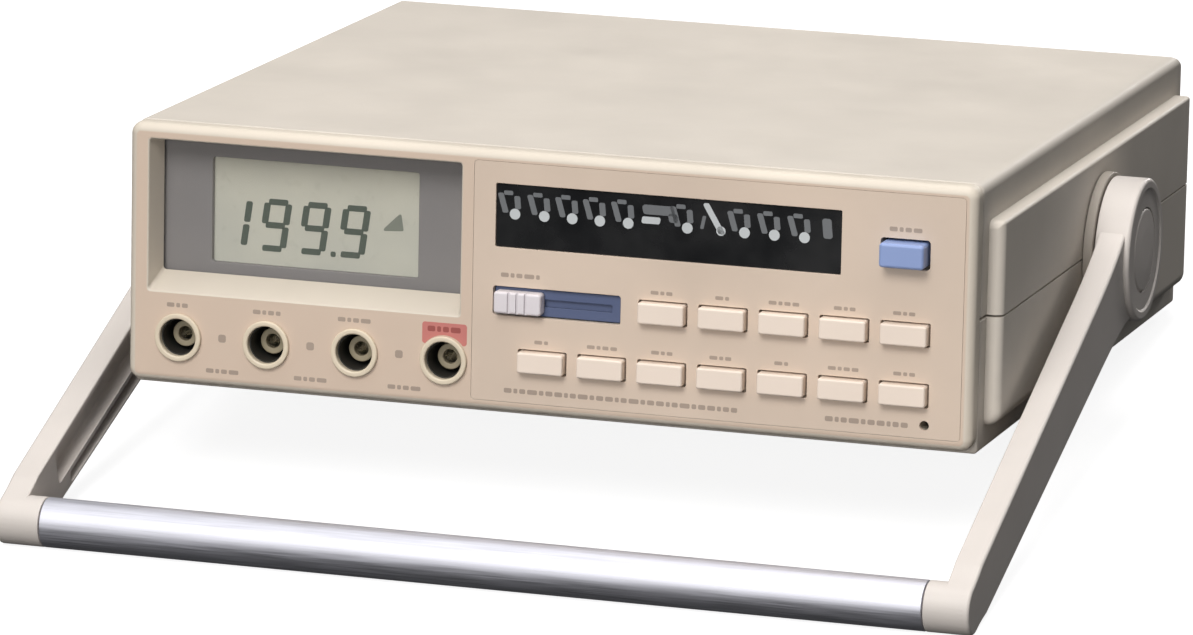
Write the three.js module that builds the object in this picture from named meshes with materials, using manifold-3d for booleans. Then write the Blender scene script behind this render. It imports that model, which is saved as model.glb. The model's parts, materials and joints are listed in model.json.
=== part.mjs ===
// A bench LCR meter in a two-part plastic case. Its carrying handle is swung down
// under the front and holds the meter up, tipped back on its two rear feet.
//
// Everything is drawn in the level case's own axes, in millimetres: x to the right
// with 0 at the middle, y to the rear with 0 on the bezel's face, and z up with 0 at
// the bezel's lower edge. The finished meter is then tipped back until the handle's
// tube and the rear feet stand on z = 0, and centred over the origin.

import * as THREE from "three";
import { mergeVertices } from "three/addons/utils/BufferGeometryUtils.js";
import Module from "manifold-3d";

const wasm = await Module();
wasm.setup();

// ---------------------------------------------------------------- dimensions

const GAP = 0.3; // between pieces that touch or are fitted together

const CASE = {
  half: 120,
  height: 72,
  underside: -1.6,
  front: 6.4,
  rear: 226,
  wall: 2.6,
  corner: 3,
  lowerCorner: 1.2,
  rearCorner: 7,
  split: 35.2,
  splitGap: 0.6,
};
// The side panels stand proud of the case's sides, between two set-back skirts.
const SIDE = {
  half: 124.4,
  front: 12.5,
  rear: 221,
  bottom: 5,
  top: 61,
  lowerCorner: 4,
  upperCorner: 0.6,
};
const BEZEL = { depth: 6, wall: 3, corner: 3.5, bevel: 2.6 };

// The display recess: its mouth on the bezel's face and its smaller back.
const MOUTH = { x0: -114.2, x1: -24, z0: 25.5, z1: 67.7 };
const RECESS_BACK = { x0: -112.7, x1: -25.2, z0: 30, z1: 66.5 };
const RECESS_DEPTH = 8;
// The walls behind the recess that hold the lens.
const TUNNEL = { x0: -116.7, x1: -20.5, z0: 22.8, rear: 12 };
const LENS = { x0: -114, x1: -24, z0: 28.6, z1: 67.7, front: 8.2, thick: 1.5 };
const MASK_OPENING = { x0: -99.3, x1: -39.6, z0: 32.8, z1: 62 };
const LCD = { x0: -103, x1: -36, z0: 29, z1: 66, front: 11.8, frontGlass: 1.2, rearGlass: 1.4 };

const OVERLAY = { x0: -20.4, x1: 116.9, z0: 3, z1: 68.9, thick: 0.7 };
const LEGEND = { x0: -14.2, x1: 82.8, z0: 45.5, z1: 63, front: 0.9, thick: 1.1 };

const KEY = { width: 13, height: 5.8, front: -2.6, pitch: 16.9, stemEnd: 12.2 };
const KEY_FIRST_X = -0.3;
const KEY_ROWS = [
  { z: 31, columns: [2, 3, 4, 5, 6] },
  { z: 14.6, columns: [0, 1, 2, 3, 4, 5, 6] },
];
const KEY_CLEARANCE = 0.4;
const KEY_FLANGE = { margin: 1, thick: 1.2 };
const KEY_STEM = { halfWidth: 2.5, halfHeight: 1.6 };
const POWER = { x0: 94.3, x1: 106.7, z0: 49.3, z1: 56, front: -4.4, stemEnd: 13 };
const POWER_CLEARANCE = 0.7;
const SLOT = { x0: -14.6, x1: 21.6, z0: 26.8, z1: 34.8 };
const KNOB = { x0: -13.6, x1: -0.2, z0: 27.8, z1: 33.8, front: -2.8, foot: 0.9 };
const TRIMMER = { x: 107, z: 6.5, radius: 1.3 };
const CUTOUT_SPAN = [-1, 5]; // from in front of the panel to behind it

const JACK = { count: 4, firstX: -105.1, pitch: 25.6, z: 13, flange: 6.7, body: 5.85, bore: 5.2 };

const BOARD = { front: 19, thick: 1.6 };
const MAIN_BOARD = { half: 105, front: 28, rear: 200, bottom: 8, thick: 1.6 };
const BOARD_POST = { x: 60, frontY: 50, rearY: 190, radius: 3 };
const REAR_PANEL = { front: CASE.rear - 5, rear: CASE.rear - 2.5 };
const INLET = { x: -70, z: 24, width: 27, height: 19.6, flangeHalf: 16, wellHalf: 12.2, wellDepth: 18 };
const FUSE = { x: -35, z: 24, radius: 6 };

const FOOT = { x: 92, frontY: 45, rearY: 205, radius: 7, bottom: CASE.underside - 4 };
const SCREW = { x: 112, frontY: 38, rearY: 196, head: 3.1, headThick: 1.2, shank: 1.4, tip: 14 };
const SCREW_POST = { radius: 4, pilot: 1.7, pilotTop: 16 };

// The handle turns about x through the hubs. Its own axes start there, with the
// arms along -y, and it hangs below the level by HANDLE.drop.
const HANDLE = {
  y: 117.6,
  z: CASE.split,
  reach: 180.3,
  drop: THREE.MathUtils.degToRad(21.1),
  outer: 136,
  inner: 128.5,
  tube: 6.8,
  tubeEnd: 123.2,
};
const HUB = { radius: 20, inner: 127.6, outer: 137.5, cup: 15.3, cap: 12 };
const PIVOT = { caseHole: 2.6, bore: 2.4, screw: 2.1, screwHead: 4.2, flange: 21, wheelEnd: 131.2 };
const RATCHET = { teeth: 18, tip: 14.8, root: 13.6 };
const TUBE_BORE = 5.75;
const SPIGOT = 5.4; // the arm's plug inside the tube

// ------------------------------------------------------------------ materials

const finish = (color, roughness, metalness = 0) =>
  new THREE.MeshStandardMaterial({ color, roughness, metalness });

const beige = finish(0xd8cfc4, 0.6);
const panelBeige = finish(0xd3bca6, 0.55);
const cream = finish(0xebdccb, 0.5);
const blue = finish(0x6f83b4, 0.45);
const darkBlue = finish(0x414f69, 0.5);
const white = finish(0xe6e1e2, 0.3);
const black = finish(0x17181a, 0.35);
const darkPlastic = finish(0x2c2a26, 0.6);
const maskGrey = finish(0x837f7b, 0.5);
const lensTint = finish(0x9a9894, 0.1);
const lcdGlass = finish(0xa9a892, 0.2);
const rubber = finish(0x24242a, 0.9);
const brushed = finish(0xc9cad4, 0.35, 0.9);
const nickel = finish(0xb9b8b2, 0.3, 1);
const steel = finish(0x9fa0a3, 0.4, 1);
const boardGreen = finish(0x2d5a3c, 0.6);
const copperWinding = finish(0x8a5a33, 0.5, 0.3);
const cableGrey = finish(0x9c9da1, 0.7);

// -------------------------------------------------------------- solid helpers

// A closed three.js geometry as a solid that can be cut and joined.
function solidOf(geometry) {
  const bare = geometry.index ? geometry.toNonIndexed() : geometry.clone();
  bare.deleteAttribute("normal");
  bare.deleteAttribute("uv");
  const merged = mergeVertices(bare, 1e-4);
  return new wasm.Manifold(
    new wasm.Mesh({
      numProp: 3,
      vertProperties: merged.attributes.position.array,
      triVerts: new Uint32Array(merged.index.array),
    }),
  );
}

function geometryOf(solid) {
  const mesh = solid.getMesh();
  const geometry = new THREE.BufferGeometry();
  geometry.setAttribute("position", new THREE.BufferAttribute(mesh.vertProperties, 3));
  geometry.setIndex(new THREE.BufferAttribute(mesh.triVerts, 1));
  geometry.computeVertexNormals();
  return geometry;
}

function block(x0, x1, y0, y1, z0, z1) {
  const geometry = new THREE.BoxGeometry(x1 - x0, y1 - y0, z1 - z0);
  geometry.translate((x0 + x1) / 2, (y0 + y1) / 2, (z0 + z1) / 2);
  return solidOf(geometry);
}

// A block whose rectangle at y0 differs from the one at y1.
function taperedBlock(near, far, y0, y1) {
  const geometry = new THREE.BoxGeometry(1, 1, 1);
  const corner = geometry.attributes.position;
  for (let i = 0; i < corner.count; i++) {
    const isNear = corner.getY(i) < 0;
    const face = isNear ? near : far;
    const x = corner.getX(i) < 0 ? face.x0 : face.x1;
    const z = corner.getZ(i) < 0 ? face.z0 : face.z1;
    corner.setXYZ(i, x, isNear ? y0 : y1, z);
  }
  return solidOf(geometry);
}

// Outlines are drawn as (x, z) for "y", as (y, z) for "x" and as (x, y) for "z".
const X = new THREE.Vector3(1, 0, 0);
const Y = new THREE.Vector3(0, 1, 0);
const Z = new THREE.Vector3(0, 0, 1);
const TURN = {
  x: new THREE.Matrix4().makeBasis(Y, Z, X),
  y: new THREE.Matrix4().makeBasis(X, Z, Y.clone().negate()),
  z: new THREE.Matrix4(),
};

// An outline drawn out from one height to another, its end edges cut by a bevel.
function extrude(outline, along, from, to, { segments = 3, bevel = 0, bevelSegments = 1 } = {}) {
  const geometry = new THREE.ExtrudeGeometry(outline, {
    depth: to - from - 2 * bevel,
    curveSegments: segments,
    bevelEnabled: bevel > 0,
    bevelThickness: bevel,
    bevelSize: bevel,
    bevelOffset: -bevel,
    bevelSegments,
  });
  geometry.applyMatrix4(TURN[along]);
  const shift = along === "y" ? to - bevel : from + bevel;
  const axis = { x: X, y: Y, z: Z }[along];
  geometry.translate(axis.x * shift, axis.y * shift, axis.z * shift);
  return solidOf(geometry);
}

function roundedRect(x0, x1, z0, z1, lower, upper = lower) {
  const outline = new THREE.Shape();
  const quarter = Math.PI / 2;
  outline.moveTo(x0 + lower, z0);
  outline.absarc(x1 - lower, z0 + lower, lower, -quarter, 0);
  outline.absarc(x1 - upper, z1 - upper, upper, 0, quarter);
  outline.absarc(x0 + upper, z1 - upper, upper, quarter, 2 * quarter);
  outline.absarc(x0 + lower, z0 + lower, lower, 2 * quarter, 3 * quarter);
  return outline;
}

// A profile of [radius, height] points turned about an axis through (a, b).
function turned(profile, along, [a, b] = [0, 0], segments = 24) {
  const points = profile.map(([radius, height]) => new THREE.Vector2(radius, height));
  const rising = THREE.ShapeUtils.isClockWise(points) ? points.reverse() : points;
  const geometry = new THREE.LatheGeometry(rising, segments);
  if (along === "x") geometry.rotateZ(-Math.PI / 2).translate(0, a, b);
  if (along === "y") geometry.translate(a, 0, b);
  if (along === "z") geometry.rotateX(Math.PI / 2).translate(a, b, 0);
  return solidOf(geometry);
}

const disc = (radius, along, from, to, at, segments) =>
  turned([[0, from], [radius, from], [radius, to], [0, to]], along, at, segments);

const joined = (first, ...others) => others.reduce((sum, solid) => sum.add(solid), first);
const cut = (body, ...tools) => tools.reduce((rest, tool) => rest.subtract(tool), body);

// ------------------------------------------------------------- the assembly

const level = new THREE.Group();
const handle = new THREE.Group();
handle.position.set(0, HANDLE.y, HANDLE.z);
handle.rotation.x = HANDLE.drop;
level.add(handle);

function place(name, solid, material, group = level) {
  const mesh = new THREE.Mesh(geometryOf(solid), material);
  mesh.name = name;
  group.add(mesh);
  return mesh;
}

// ------------------------------------------------------------------- covers

// The case seen from the side, rounded off over its top rear edge.
function sideProfile() {
  const { front, rear, underside, height, rearCorner } = CASE;
  const outline = new THREE.Shape();
  outline.moveTo(front - 1, underside - 1);
  outline.lineTo(rear, underside - 1);
  outline.absarc(rear - rearCorner, height - rearCorner, rearCorner, 0, Math.PI / 2);
  outline.lineTo(front - 1, height);
  return outline;
}

// Both covers as one hollow case, open at the front and at the rear.
function caseShell() {
  const { half, height, underside, front, rear, wall, corner, lowerCorner } = CASE;
  const outer = joined(
    extrude(roundedRect(-half, half, underside, height, lowerCorner, corner), "y", front, rear),
    extrude(
      roundedRect(-SIDE.half, SIDE.half, SIDE.bottom, SIDE.top, SIDE.lowerCorner, SIDE.upperCorner),
      "y",
      SIDE.front,
      SIDE.rear,
    ),
  ).intersect(extrude(sideProfile(), "x", -SIDE.half - 1, SIDE.half + 1));
  const inner = roundedRect(-half + wall, half - wall, underside + wall, height - wall, 1);
  return cut(
    outer,
    extrude(inner, "y", front - 10, rear + 10, { segments: 1 }),
    block(
      -SIDE.half + wall,
      SIDE.half - wall,
      SIDE.front + wall,
      SIDE.rear - wall,
      SIDE.bottom + wall,
      SIDE.top - wall,
    ),
    disc(PIVOT.caseHole, "x", -SIDE.half - 1, SIDE.half + 1, [HANDLE.y, HANDLE.z], 16),
  );
}

const cornersOf = ({ x, frontY, rearY }) => [[-x, frontY], [x, frontY], [-x, rearY], [x, rearY]];
const screwPlaces = cornersOf(SCREW);
const footPlaces = [
  { name: "foot_front_left", at: [-FOOT.x, FOOT.frontY] },
  { name: "foot_front_right", at: [FOOT.x, FOOT.frontY] },
  { name: "foot_rear_left", at: [-FOOT.x, FOOT.rearY] },
  { name: "foot_rear_right", at: [FOOT.x, FOOT.rearY] },
];

const beyond = (low, high) => block(-200, 200, -50, 300, low, high);
const shell = caseShell();
const floorTop = CASE.underside + CASE.wall;

function topCover() {
  const upper = cut(shell, beyond(-50, CASE.split + CASE.splitGap / 2));
  const ceiling = CASE.height - CASE.wall;
  const { radius, pilot, pilotTop } = SCREW_POST;
  const posts = screwPlaces.map((at) => disc(radius, "z", floorTop + GAP, ceiling + 0.5, at, 12));
  const pilots = screwPlaces.map((at) => disc(pilot, "z", 0, pilotTop, at, 8));
  return cut(joined(upper, ...posts), ...pilots);
}

function bottomCover() {
  const lower = cut(shell, beyond(CASE.split - CASE.splitGap / 2, 100));
  const boardPosts = cornersOf(BOARD_POST).map((at) =>
    disc(BOARD_POST.radius, "z", floorTop - 0.5, MAIN_BOARD.bottom - GAP, at, 10),
  );
  const footHoles = footPlaces.map(({ at }) => disc(2.6, "z", -5, 5, at, 10));
  const headRecess = CASE.underside + 1.6;
  const screwHoles = screwPlaces.map((at) =>
    joined(disc(3.5, "z", -5, headRecess, at, 12), disc(1.8, "z", -1, 5, at, 8)),
  );
  return cut(joined(lower, ...boardPosts), ...footHoles, ...screwHoles);
}

place("top_cover", topCover(), beige);
place("bottom_cover", bottomCover(), beige);

const headBottom = CASE.underside + 0.1;
const headTop = headBottom + SCREW.headThick;
const screwProfile = [
  [0, headBottom],
  [SCREW.head, headBottom],
  [SCREW.head, headTop],
  [SCREW.shank, headTop],
  [SCREW.shank, SCREW.tip],
  [0, SCREW.tip],
];
screwPlaces.forEach((at, i) =>
  place(`case_screw_${i + 1}`, turned(screwProfile, "z", at, 10), steel),
);

const footProfile = [
  [0, FOOT.bottom],
  [FOOT.radius - 0.5, FOOT.bottom],
  [FOOT.radius, FOOT.bottom + 0.5],
  [FOOT.radius - 0.4, CASE.underside - GAP],
  [2.2, CASE.underside - GAP],
  [2.2, 3.2],
  [0, 3.2],
];
footPlaces.forEach(({ name, at }) => place(name, turned(footProfile, "z", at, 20), rubber));

// -------------------------------------------------------------------- front

const keyPlaces = KEY_ROWS.flatMap(({ z, columns }) =>
  columns.map((column) => ({ x: KEY_FIRST_X + KEY.pitch * column, z })),
);
const jackPlaces = Array.from({ length: JACK.count }, (_, i) => [
  JACK.firstX + JACK.pitch * i,
  JACK.z,
]);

// Everything that reaches through the right-hand part of the panel.
function panelCutouts() {
  const [front, back] = CUTOUT_SPAN;
  const through = (outline) => extrude(outline, "y", front, back, { segments: 1 });
  const around = ({ x0, x1, z0, z1 }, margin, corner) =>
    through(roundedRect(x0 - margin, x1 + margin, z0 - margin, z1 + margin, corner));
  const w = KEY.width / 2 + KEY_CLEARANCE;
  const h = KEY.height / 2 + KEY_CLEARANCE;
  return joined(
    around(POWER, POWER_CLEARANCE, 1),
    around(SLOT, 0, 0.8),
    disc(TRIMMER.radius, "y", front, back, [TRIMMER.x, TRIMMER.z], 12),
    ...keyPlaces.map(({ x, z }) => block(x - w, x + w, front, back, z - h, z + h)),
  );
}

const cutouts = panelCutouts();
const legendOpening = (margin, y0, y1) =>
  block(LEGEND.x0 - margin, LEGEND.x1 + margin, y0, y1, LEGEND.z0 - margin, LEGEND.z1 + margin);

function frontBezel() {
  const { half, height } = CASE;
  const { depth, wall, corner, bevel } = BEZEL;
  const frame = extrude(roundedRect(-half, half, 0, height, corner), "y", 0, 3 * depth, {
    bevel,
    bevelSegments: 2,
  });
  const plate = cut(
    frame,
    block(-200, 200, depth, 50, -50, 100),
    block(-half + wall, half - wall, wall, depth + 1, wall, height - wall),
  );
  const tunnel = block(TUNNEL.x0, TUNNEL.x1, wall - 0.5, TUNNEL.rear, TUNNEL.z0, height - wall);
  const mouth = taperedBlock(MOUTH, RECESS_BACK, -0.05, RECESS_DEPTH + 0.05);
  const lensSeat = block(LENS.x0 - GAP, LENS.x1 + GAP, RECESS_DEPTH, 13, LENS.z0 - GAP, LENS.z1 + GAP);
  const overlaySeat = block(
    OVERLAY.x0 - GAP,
    OVERLAY.x1 + GAP,
    -1,
    OVERLAY.thick + GAP,
    OVERLAY.z0 - GAP,
    OVERLAY.z1 + GAP,
  );
  const jackHoles = jackPlaces.map((at) => disc(JACK.body + GAP, "y", ...CUTOUT_SPAN, at));
  return cut(
    joined(plate, tunnel),
    mouth,
    lensSeat,
    overlaySeat,
    legendOpening(GAP, -1, LEGEND.front + LEGEND.thick + GAP),
    cutouts,
    ...jackHoles,
  );
}

place("front_bezel", frontBezel(), panelBeige);

const overlayPlate = block(OVERLAY.x0, OVERLAY.x1, 0, OVERLAY.thick, OVERLAY.z0, OVERLAY.z1);
place("front_overlay", cut(overlayPlate, cutouts, legendOpening(0, -1, 2)), panelBeige);
place("legend_window", legendOpening(0, LEGEND.front, LEGEND.front + LEGEND.thick), black);

// ------------------------------------------------------------------ display

function display() {
  const { x0, x1, z0, z1, front, thick } = LENS;
  place("display_lens", block(x0, x1, front, front + thick, z0, z1), lensTint);

  const maskFront = front + thick + GAP;
  const opening = MASK_OPENING;
  const mask = cut(
    block(x0, x1, maskFront, LCD.front - GAP, z0, z1),
    block(opening.x0, opening.x1, 0, 20, opening.z0, opening.z1),
  );
  place("display_mask", mask, maskGrey);

  const ledge = 2;
  const rearFace = LCD.front + LCD.frontGlass + LCD.rearGlass;
  const frontGlass = block(LCD.x0, LCD.x1, LCD.front, rearFace - 1, LCD.z0 + ledge, LCD.z1 - ledge);
  const rearGlass = block(LCD.x0, LCD.x1, LCD.front + LCD.frontGlass, rearFace, LCD.z0, LCD.z1);
  place("lcd_panel", joined(frontGlass, rearGlass), lcdGlass);

  const strip = (z) => block(LCD.x0 + 2, LCD.x1 - 2, rearFace + GAP, BOARD.front - GAP, z, z + 3);
  place("lcd_connector_top", strip(LCD.z1 - 4), rubber);
  place("lcd_connector_bottom", strip(LCD.z0 + 1), rubber);
}
display();

// -------------------------------------------------- keys, switches and board

// A cap in the panel's hole, a flange that keeps it in, and a stem to the key mat.
function keyCap({ x, z }) {
  const { width, height, front, stemEnd } = KEY;
  const w = width / 2;
  const h = height / 2;
  const cap = extrude(roundedRect(x - w, x + w, z - h, z + h, 0.5), "y", front, 4.2, {
    segments: 1,
    bevel: 0.5,
  });
  const { margin, thick } = KEY_FLANGE;
  const { halfWidth, halfHeight } = KEY_STEM;
  const y0 = BEZEL.wall + GAP;
  const flange = block(x - w - margin, x + w + margin, y0, y0 + thick, z - h - margin, z + h + margin);
  const stem = block(x - halfWidth, x + halfWidth, 4, stemEnd, z - halfHeight, z + halfHeight);
  return joined(cap, flange, stem);
}
keyPlaces.forEach((key, i) => place(`key_${i + 1}`, keyCap(key), cream));

// A silicone mat in an L, with one dome behind each key.
function keyMat() {
  const back = BOARD.front - GAP;
  const face = back - 1.5;
  const left = KEY_FIRST_X - 9;
  const right = KEY_FIRST_X + 6 * KEY.pitch + 9;
  const lowerRow = block(left, right, face, back, 8, 22);
  const upperRow = block(left + 2 * KEY.pitch, right, face, back, 21, 37.5);
  const dome = ({ x, z }) => {
    const profile = [[0, face - 2.7], [2.4, face - 2.7], [4.4, face + 0.5], [0, face + 0.5]];
    return turned(profile, "y", [x, z], 8);
  };
  return joined(lowerRow, upperRow, ...keyPlaces.map(dome));
}
place("key_mat", keyMat(), cableGrey);

function powerButton() {
  const { x0, x1, z0, z1, front, stemEnd } = POWER;
  const cap = extrude(roundedRect(x0, x1, z0, z1, 0.8), "y", front, 4.5, {
    segments: 1,
    bevel: 0.6,
  });
  const centre = (x0 + x1) / 2;
  return joined(cap, block(centre - 2.5, centre + 2.5, 4, stemEnd, z0 + 1.2, z1 - 1.2));
}
place("power_button", powerButton(), blue);

const powerSwitchHole = { x0: 93.5, x1: 107.5, z0: 44.5, z1: 60.5 };
place("power_switch", block(94.8, 106.2, 16.4, 44, 46, 59), darkPlastic);

// The slide switch's blue face lies in the panel's slot, with a groove for the knob.
const knobMiddle = (KNOB.z0 + KNOB.z1) / 2;
function slideSwitch() {
  const { x0, x1, z0, z1 } = SLOT;
  const face = block(x0 + GAP, x1 - GAP, 1.2, 4, z0 + GAP, z1 - GAP);
  const body = block(x0 - 2, x1 + 2, BEZEL.wall + GAP, BOARD.front - GAP, z0 - 2, z1 + 2);
  const groove = block(x0 + 2.9, x1 - 2.7, 0, 8, knobMiddle - 1, knobMiddle + 1);
  return cut(joined(face, body), groove);
}
place("slide_switch", slideSwitch(), darkBlue);

function slideKnob() {
  const { x0, x1, z0, z1, front, foot } = KNOB;
  const middle = (x0 + x1) / 2;
  const grip = extrude(roundedRect(x0, x1, z0, z1, 0.8), "y", front, foot, {
    segments: 1,
    bevel: 0.6,
  });
  const grooves = [-2.4, 0, 2.4].map((dx) =>
    block(middle + dx - 0.35, middle + dx + 0.35, front - 1, front + 0.6, z0 - 1, z1 + 1),
  );
  const stem = block(middle - 2, middle + 2, foot - 1, 6.8, knobMiddle - 0.7, knobMiddle + 0.7);
  return joined(cut(grip, ...grooves), stem);
}
place("slide_knob", slideKnob(), white);

function frontBoard() {
  const rear = BOARD.front + BOARD.thick;
  const hole = powerSwitchHole;
  return cut(
    joined(
      block(-114, 114, BOARD.front, rear, 24, 68),
      block(-18, 114, BOARD.front, rear, 4, 25),
    ),
    block(hole.x0, hole.x1, BOARD.front - 1, rear + 1, hole.z0, hole.z1),
  );
}
place("front_board", frontBoard(), boardGreen);

// -------------------------------------------------------------- input jacks

const collarProfile = [
  [JACK.bore, -1.2],
  [JACK.flange - 0.3, -1.2],
  [JACK.flange, -0.9],
  [JACK.flange, -GAP],
  [JACK.body, -GAP],
  [JACK.body, 24],
  [3.8, 24],
  [3.8, 21],
  [JACK.bore, 21],
  [JACK.bore, -1.2],
];
const socketProfile = [
  [0, 26],
  [2, 26],
  [2, 7.8],
  [2.5, 7.3],
  [3.5, 7.3],
  [3.5, 27],
  [1.1, 27],
  [1.1, 34],
  [0, 34],
];
jackPlaces.forEach((at, i) => {
  place(`jack_collar_${i + 1}`, turned(collarProfile, "y", at), cream);
  place(`jack_socket_${i + 1}`, turned(socketProfile, "y", at, 16), nickel);
});

// ----------------------------------------------------------------- interior

const boardTop = MAIN_BOARD.bottom + MAIN_BOARD.thick;
place(
  "main_board",
  block(
    -MAIN_BOARD.half,
    MAIN_BOARD.half,
    MAIN_BOARD.front,
    MAIN_BOARD.rear,
    MAIN_BOARD.bottom,
    boardTop,
  ),
  boardGreen,
);

// A flat cable that runs down the front board's back and onto the main board.
function ribbonCable() {
  const thick = 0.9;
  const bend = 5;
  const back = BOARD.front + BOARD.thick + GAP;
  const onBoard = boardTop + GAP;
  const outline = new THREE.Shape();
  outline.moveTo(back + thick, 26);
  outline.lineTo(back, 26);
  outline.absarc(back + bend, onBoard + bend, bend, Math.PI, 1.5 * Math.PI);
  outline.lineTo(44, onBoard);
  outline.lineTo(44, onBoard + thick);
  outline.absarc(back + bend, onBoard + bend, bend - thick, 1.5 * Math.PI, Math.PI, true);
  return extrude(outline, "x", 30, 62);
}
place("ribbon_cable", ribbonCable(), cableGrey);

const core = block(-90, -48, 150, 168, boardTop + GAP, 45);
place("mains_transformer", joined(core, block(-83, -55, 142, 176, 15, 40)), copperWinding);

// --------------------------------------------------------------------- rear

function rearPanel() {
  const inner = CASE.half - CASE.wall - 0.5;
  const { front, rear } = REAR_PANEL;
  const plate = block(-inner, inner, front, rear, floorTop + 0.4, CASE.height - CASE.wall - 0.4);
  const w = INLET.width / 2 + GAP;
  const h = INLET.height / 2 + GAP;
  return cut(
    plate,
    block(INLET.x - w, INLET.x + w, 200, 240, INLET.z - h, INLET.z + h),
    disc(FUSE.radius + GAP, "y", 200, 240, [FUSE.x, FUSE.z]),
  );
}
place("rear_panel", rearPanel(), beige);

// A three-pin appliance inlet: the pins stand back from the mouth of its well.
function powerInlet() {
  const { x, z, width, height } = INLET;
  const mouth = CASE.rear + 0.2;
  const flangeFront = REAR_PANEL.rear + GAP;
  const rim = roundedRect(x - INLET.flangeHalf, x + INLET.flangeHalf, z - 12, z + 12, 2);
  const flange = extrude(rim, "y", flangeFront, mouth);
  const body = block(
    x - width / 2,
    x + width / 2,
    mouth - 24,
    mouth - 1,
    z - height / 2,
    z + height / 2,
  );
  const { wellHalf, wellDepth } = INLET;
  const wellOutline = roundedRect(x - wellHalf, x + wellHalf, z - 8.2, z + 8.2, 2.5, 1);
  const well = extrude(wellOutline, "y", mouth - wellDepth, mouth + 10);
  const pin = (dx, dz) =>
    block(x + dx - 1, x + dx + 1, mouth - 19, mouth - 6, z + dz - 2, z + dz + 2);
  return joined(cut(joined(flange, body), well), pin(-7, -2), pin(0, 2), pin(7, -2));
}
place("power_inlet", powerInlet(), black);

function fuseHolder() {
  const { x, z, radius } = FUSE;
  const flangeFront = REAR_PANEL.rear + GAP;
  const profile = [
    [0, flangeFront - 30],
    [radius, flangeFront - 30],
    [radius, flangeFront],
    [radius + 2.5, flangeFront],
    [radius + 2.5, flangeFront + 1.4],
    [radius + 0.5, flangeFront + 1.6],
    [radius + 0.2, flangeFront + 4],
    [0, flangeFront + 4],
  ];
  const slot = block(x - 5, x + 5, flangeFront + 2.8, flangeFront + 5, z - 0.6, z + 0.6);
  return cut(turned(profile, "y", [x, z], 20), slot);
}
place("fuse_holder", fuseHolder(), black);

// ------------------------------------------------------------------- handle

// Half the arm's width at a distance from the hub.
const armHalfWidth = (distance) => 11.3 - 0.0195 * distance;

// The arm seen from the side: a hub disc at the origin, and a taper to the tube.
function armOutline() {
  const { radius } = HUB;
  const lift = 0.76;
  const start = 46;
  const end = HANDLE.reach;
  const outline = new THREE.Shape();
  outline.moveTo(-radius * Math.cos(lift), radius * Math.sin(lift));
  outline.quadraticCurveTo(-24, armHalfWidth(24), -start, armHalfWidth(start));
  outline.lineTo(-end + 10, armHalfWidth(end - 10));
  outline.quadraticCurveTo(-end + 4, HANDLE.tube, -end, HANDLE.tube);
  outline.absarc(-end, 0, HANDLE.tube, Math.PI / 2, 1.5 * Math.PI);
  outline.quadraticCurveTo(-end + 4, -HANDLE.tube, -end + 10, -armHalfWidth(end - 10));
  outline.lineTo(-start, -armHalfWidth(start));
  outline.quadraticCurveTo(-24, -armHalfWidth(24), -radius * Math.cos(lift), -radius * Math.sin(lift));
  outline.absarc(0, 0, radius, Math.PI + lift, 3 * Math.PI - lift);
  return outline;
}

// A pocket in the arm's inner side, between two heights given along the arm.
function pocket(far, heights, depth) {
  const near = 27;
  const outline = new THREE.Shape();
  outline.moveTo(-near, heights(near)[1]);
  outline.lineTo(-far, heights(far)[1]);
  outline.lineTo(-far, heights(far)[0]);
  outline.lineTo(-near, heights(near)[0]);
  return extrude(outline, "x", HANDLE.inner - 1, HANDLE.inner + depth);
}

// One right-hand arm, in the handle's own axes: hub, hollowed arm, tube socket.
function handleArm() {
  const { reach, outer, inner, tube, tubeEnd } = HANDLE;
  const arm = extrude(armOutline(), "x", inner, outer, { segments: 4, bevel: 0.8 });
  const hub = turned(
    [
      [0, HUB.inner],
      [HUB.radius, HUB.inner],
      [HUB.radius, HUB.outer - 0.8],
      [HUB.radius - 0.8, HUB.outer],
      [0, HUB.outer],
    ],
    "x",
    [0, 0],
    40,
  );
  const corner = turned(
    [
      [0, tubeEnd - 14],
      [SPIGOT, tubeEnd - 14],
      [SPIGOT, tubeEnd + GAP],
      [tube, tubeEnd + GAP],
      [tube, outer - 3],
      [tube - 0.9, outer - 0.9],
      [tube - 3, outer],
      [0, outer],
    ],
    "x",
    [-reach, 0],
    24,
  );
  const upperPocket = pocket(158, (along) => [-3, armHalfWidth(along) - 1.6], 4.2);
  const lowerPocket = pocket(150, (along) => [0.9 - armHalfWidth(along), -4.2], 5);
  return cut(
    joined(arm, hub, corner),
    upperPocket,
    lowerPocket,
    disc(HUB.cup, "x", HUB.inner - 1, 131.5, [0, 0], 32),
    disc(PIVOT.caseHole, "x", 131, 134, [0, 0], 16),
    disc(HUB.cap, "x", 133.5, HUB.outer + 1, [0, 0], 32),
  );
}

const armSolid = handleArm();
place("handle_arm_right", armSolid, beige, handle);
place("handle_arm_left", armSolid, beige, handle).scale.x = -1;

const tubeProfile = [
  [HANDLE.tube, -HANDLE.tubeEnd],
  [HANDLE.tube, HANDLE.tubeEnd],
  [TUBE_BORE, HANDLE.tubeEnd],
  [TUBE_BORE, -HANDLE.tubeEnd],
  [HANDLE.tube, -HANDLE.tubeEnd],
];
place("handle_tube", turned(tubeProfile, "x", [-HANDLE.reach, 0], 32), brushed, handle);

// A domed cap closes the hub's outer face over the pivot screw's head.
const capProfile = [
  [0, 135.3],
  [HUB.cap - GAP, 135.3],
  [HUB.cap - GAP, HUB.outer - 0.6],
  [HUB.cap - 1, HUB.outer],
  [0, HUB.outer + 0.2],
];
const capSolid = turned(capProfile, "x", [0, 0], 32);
place("hub_cap_right", capSolid, beige, handle);
place("hub_cap_left", capSolid, beige, handle).scale.x = -1;

// ------------------------------------------------------------------- pivots

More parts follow.
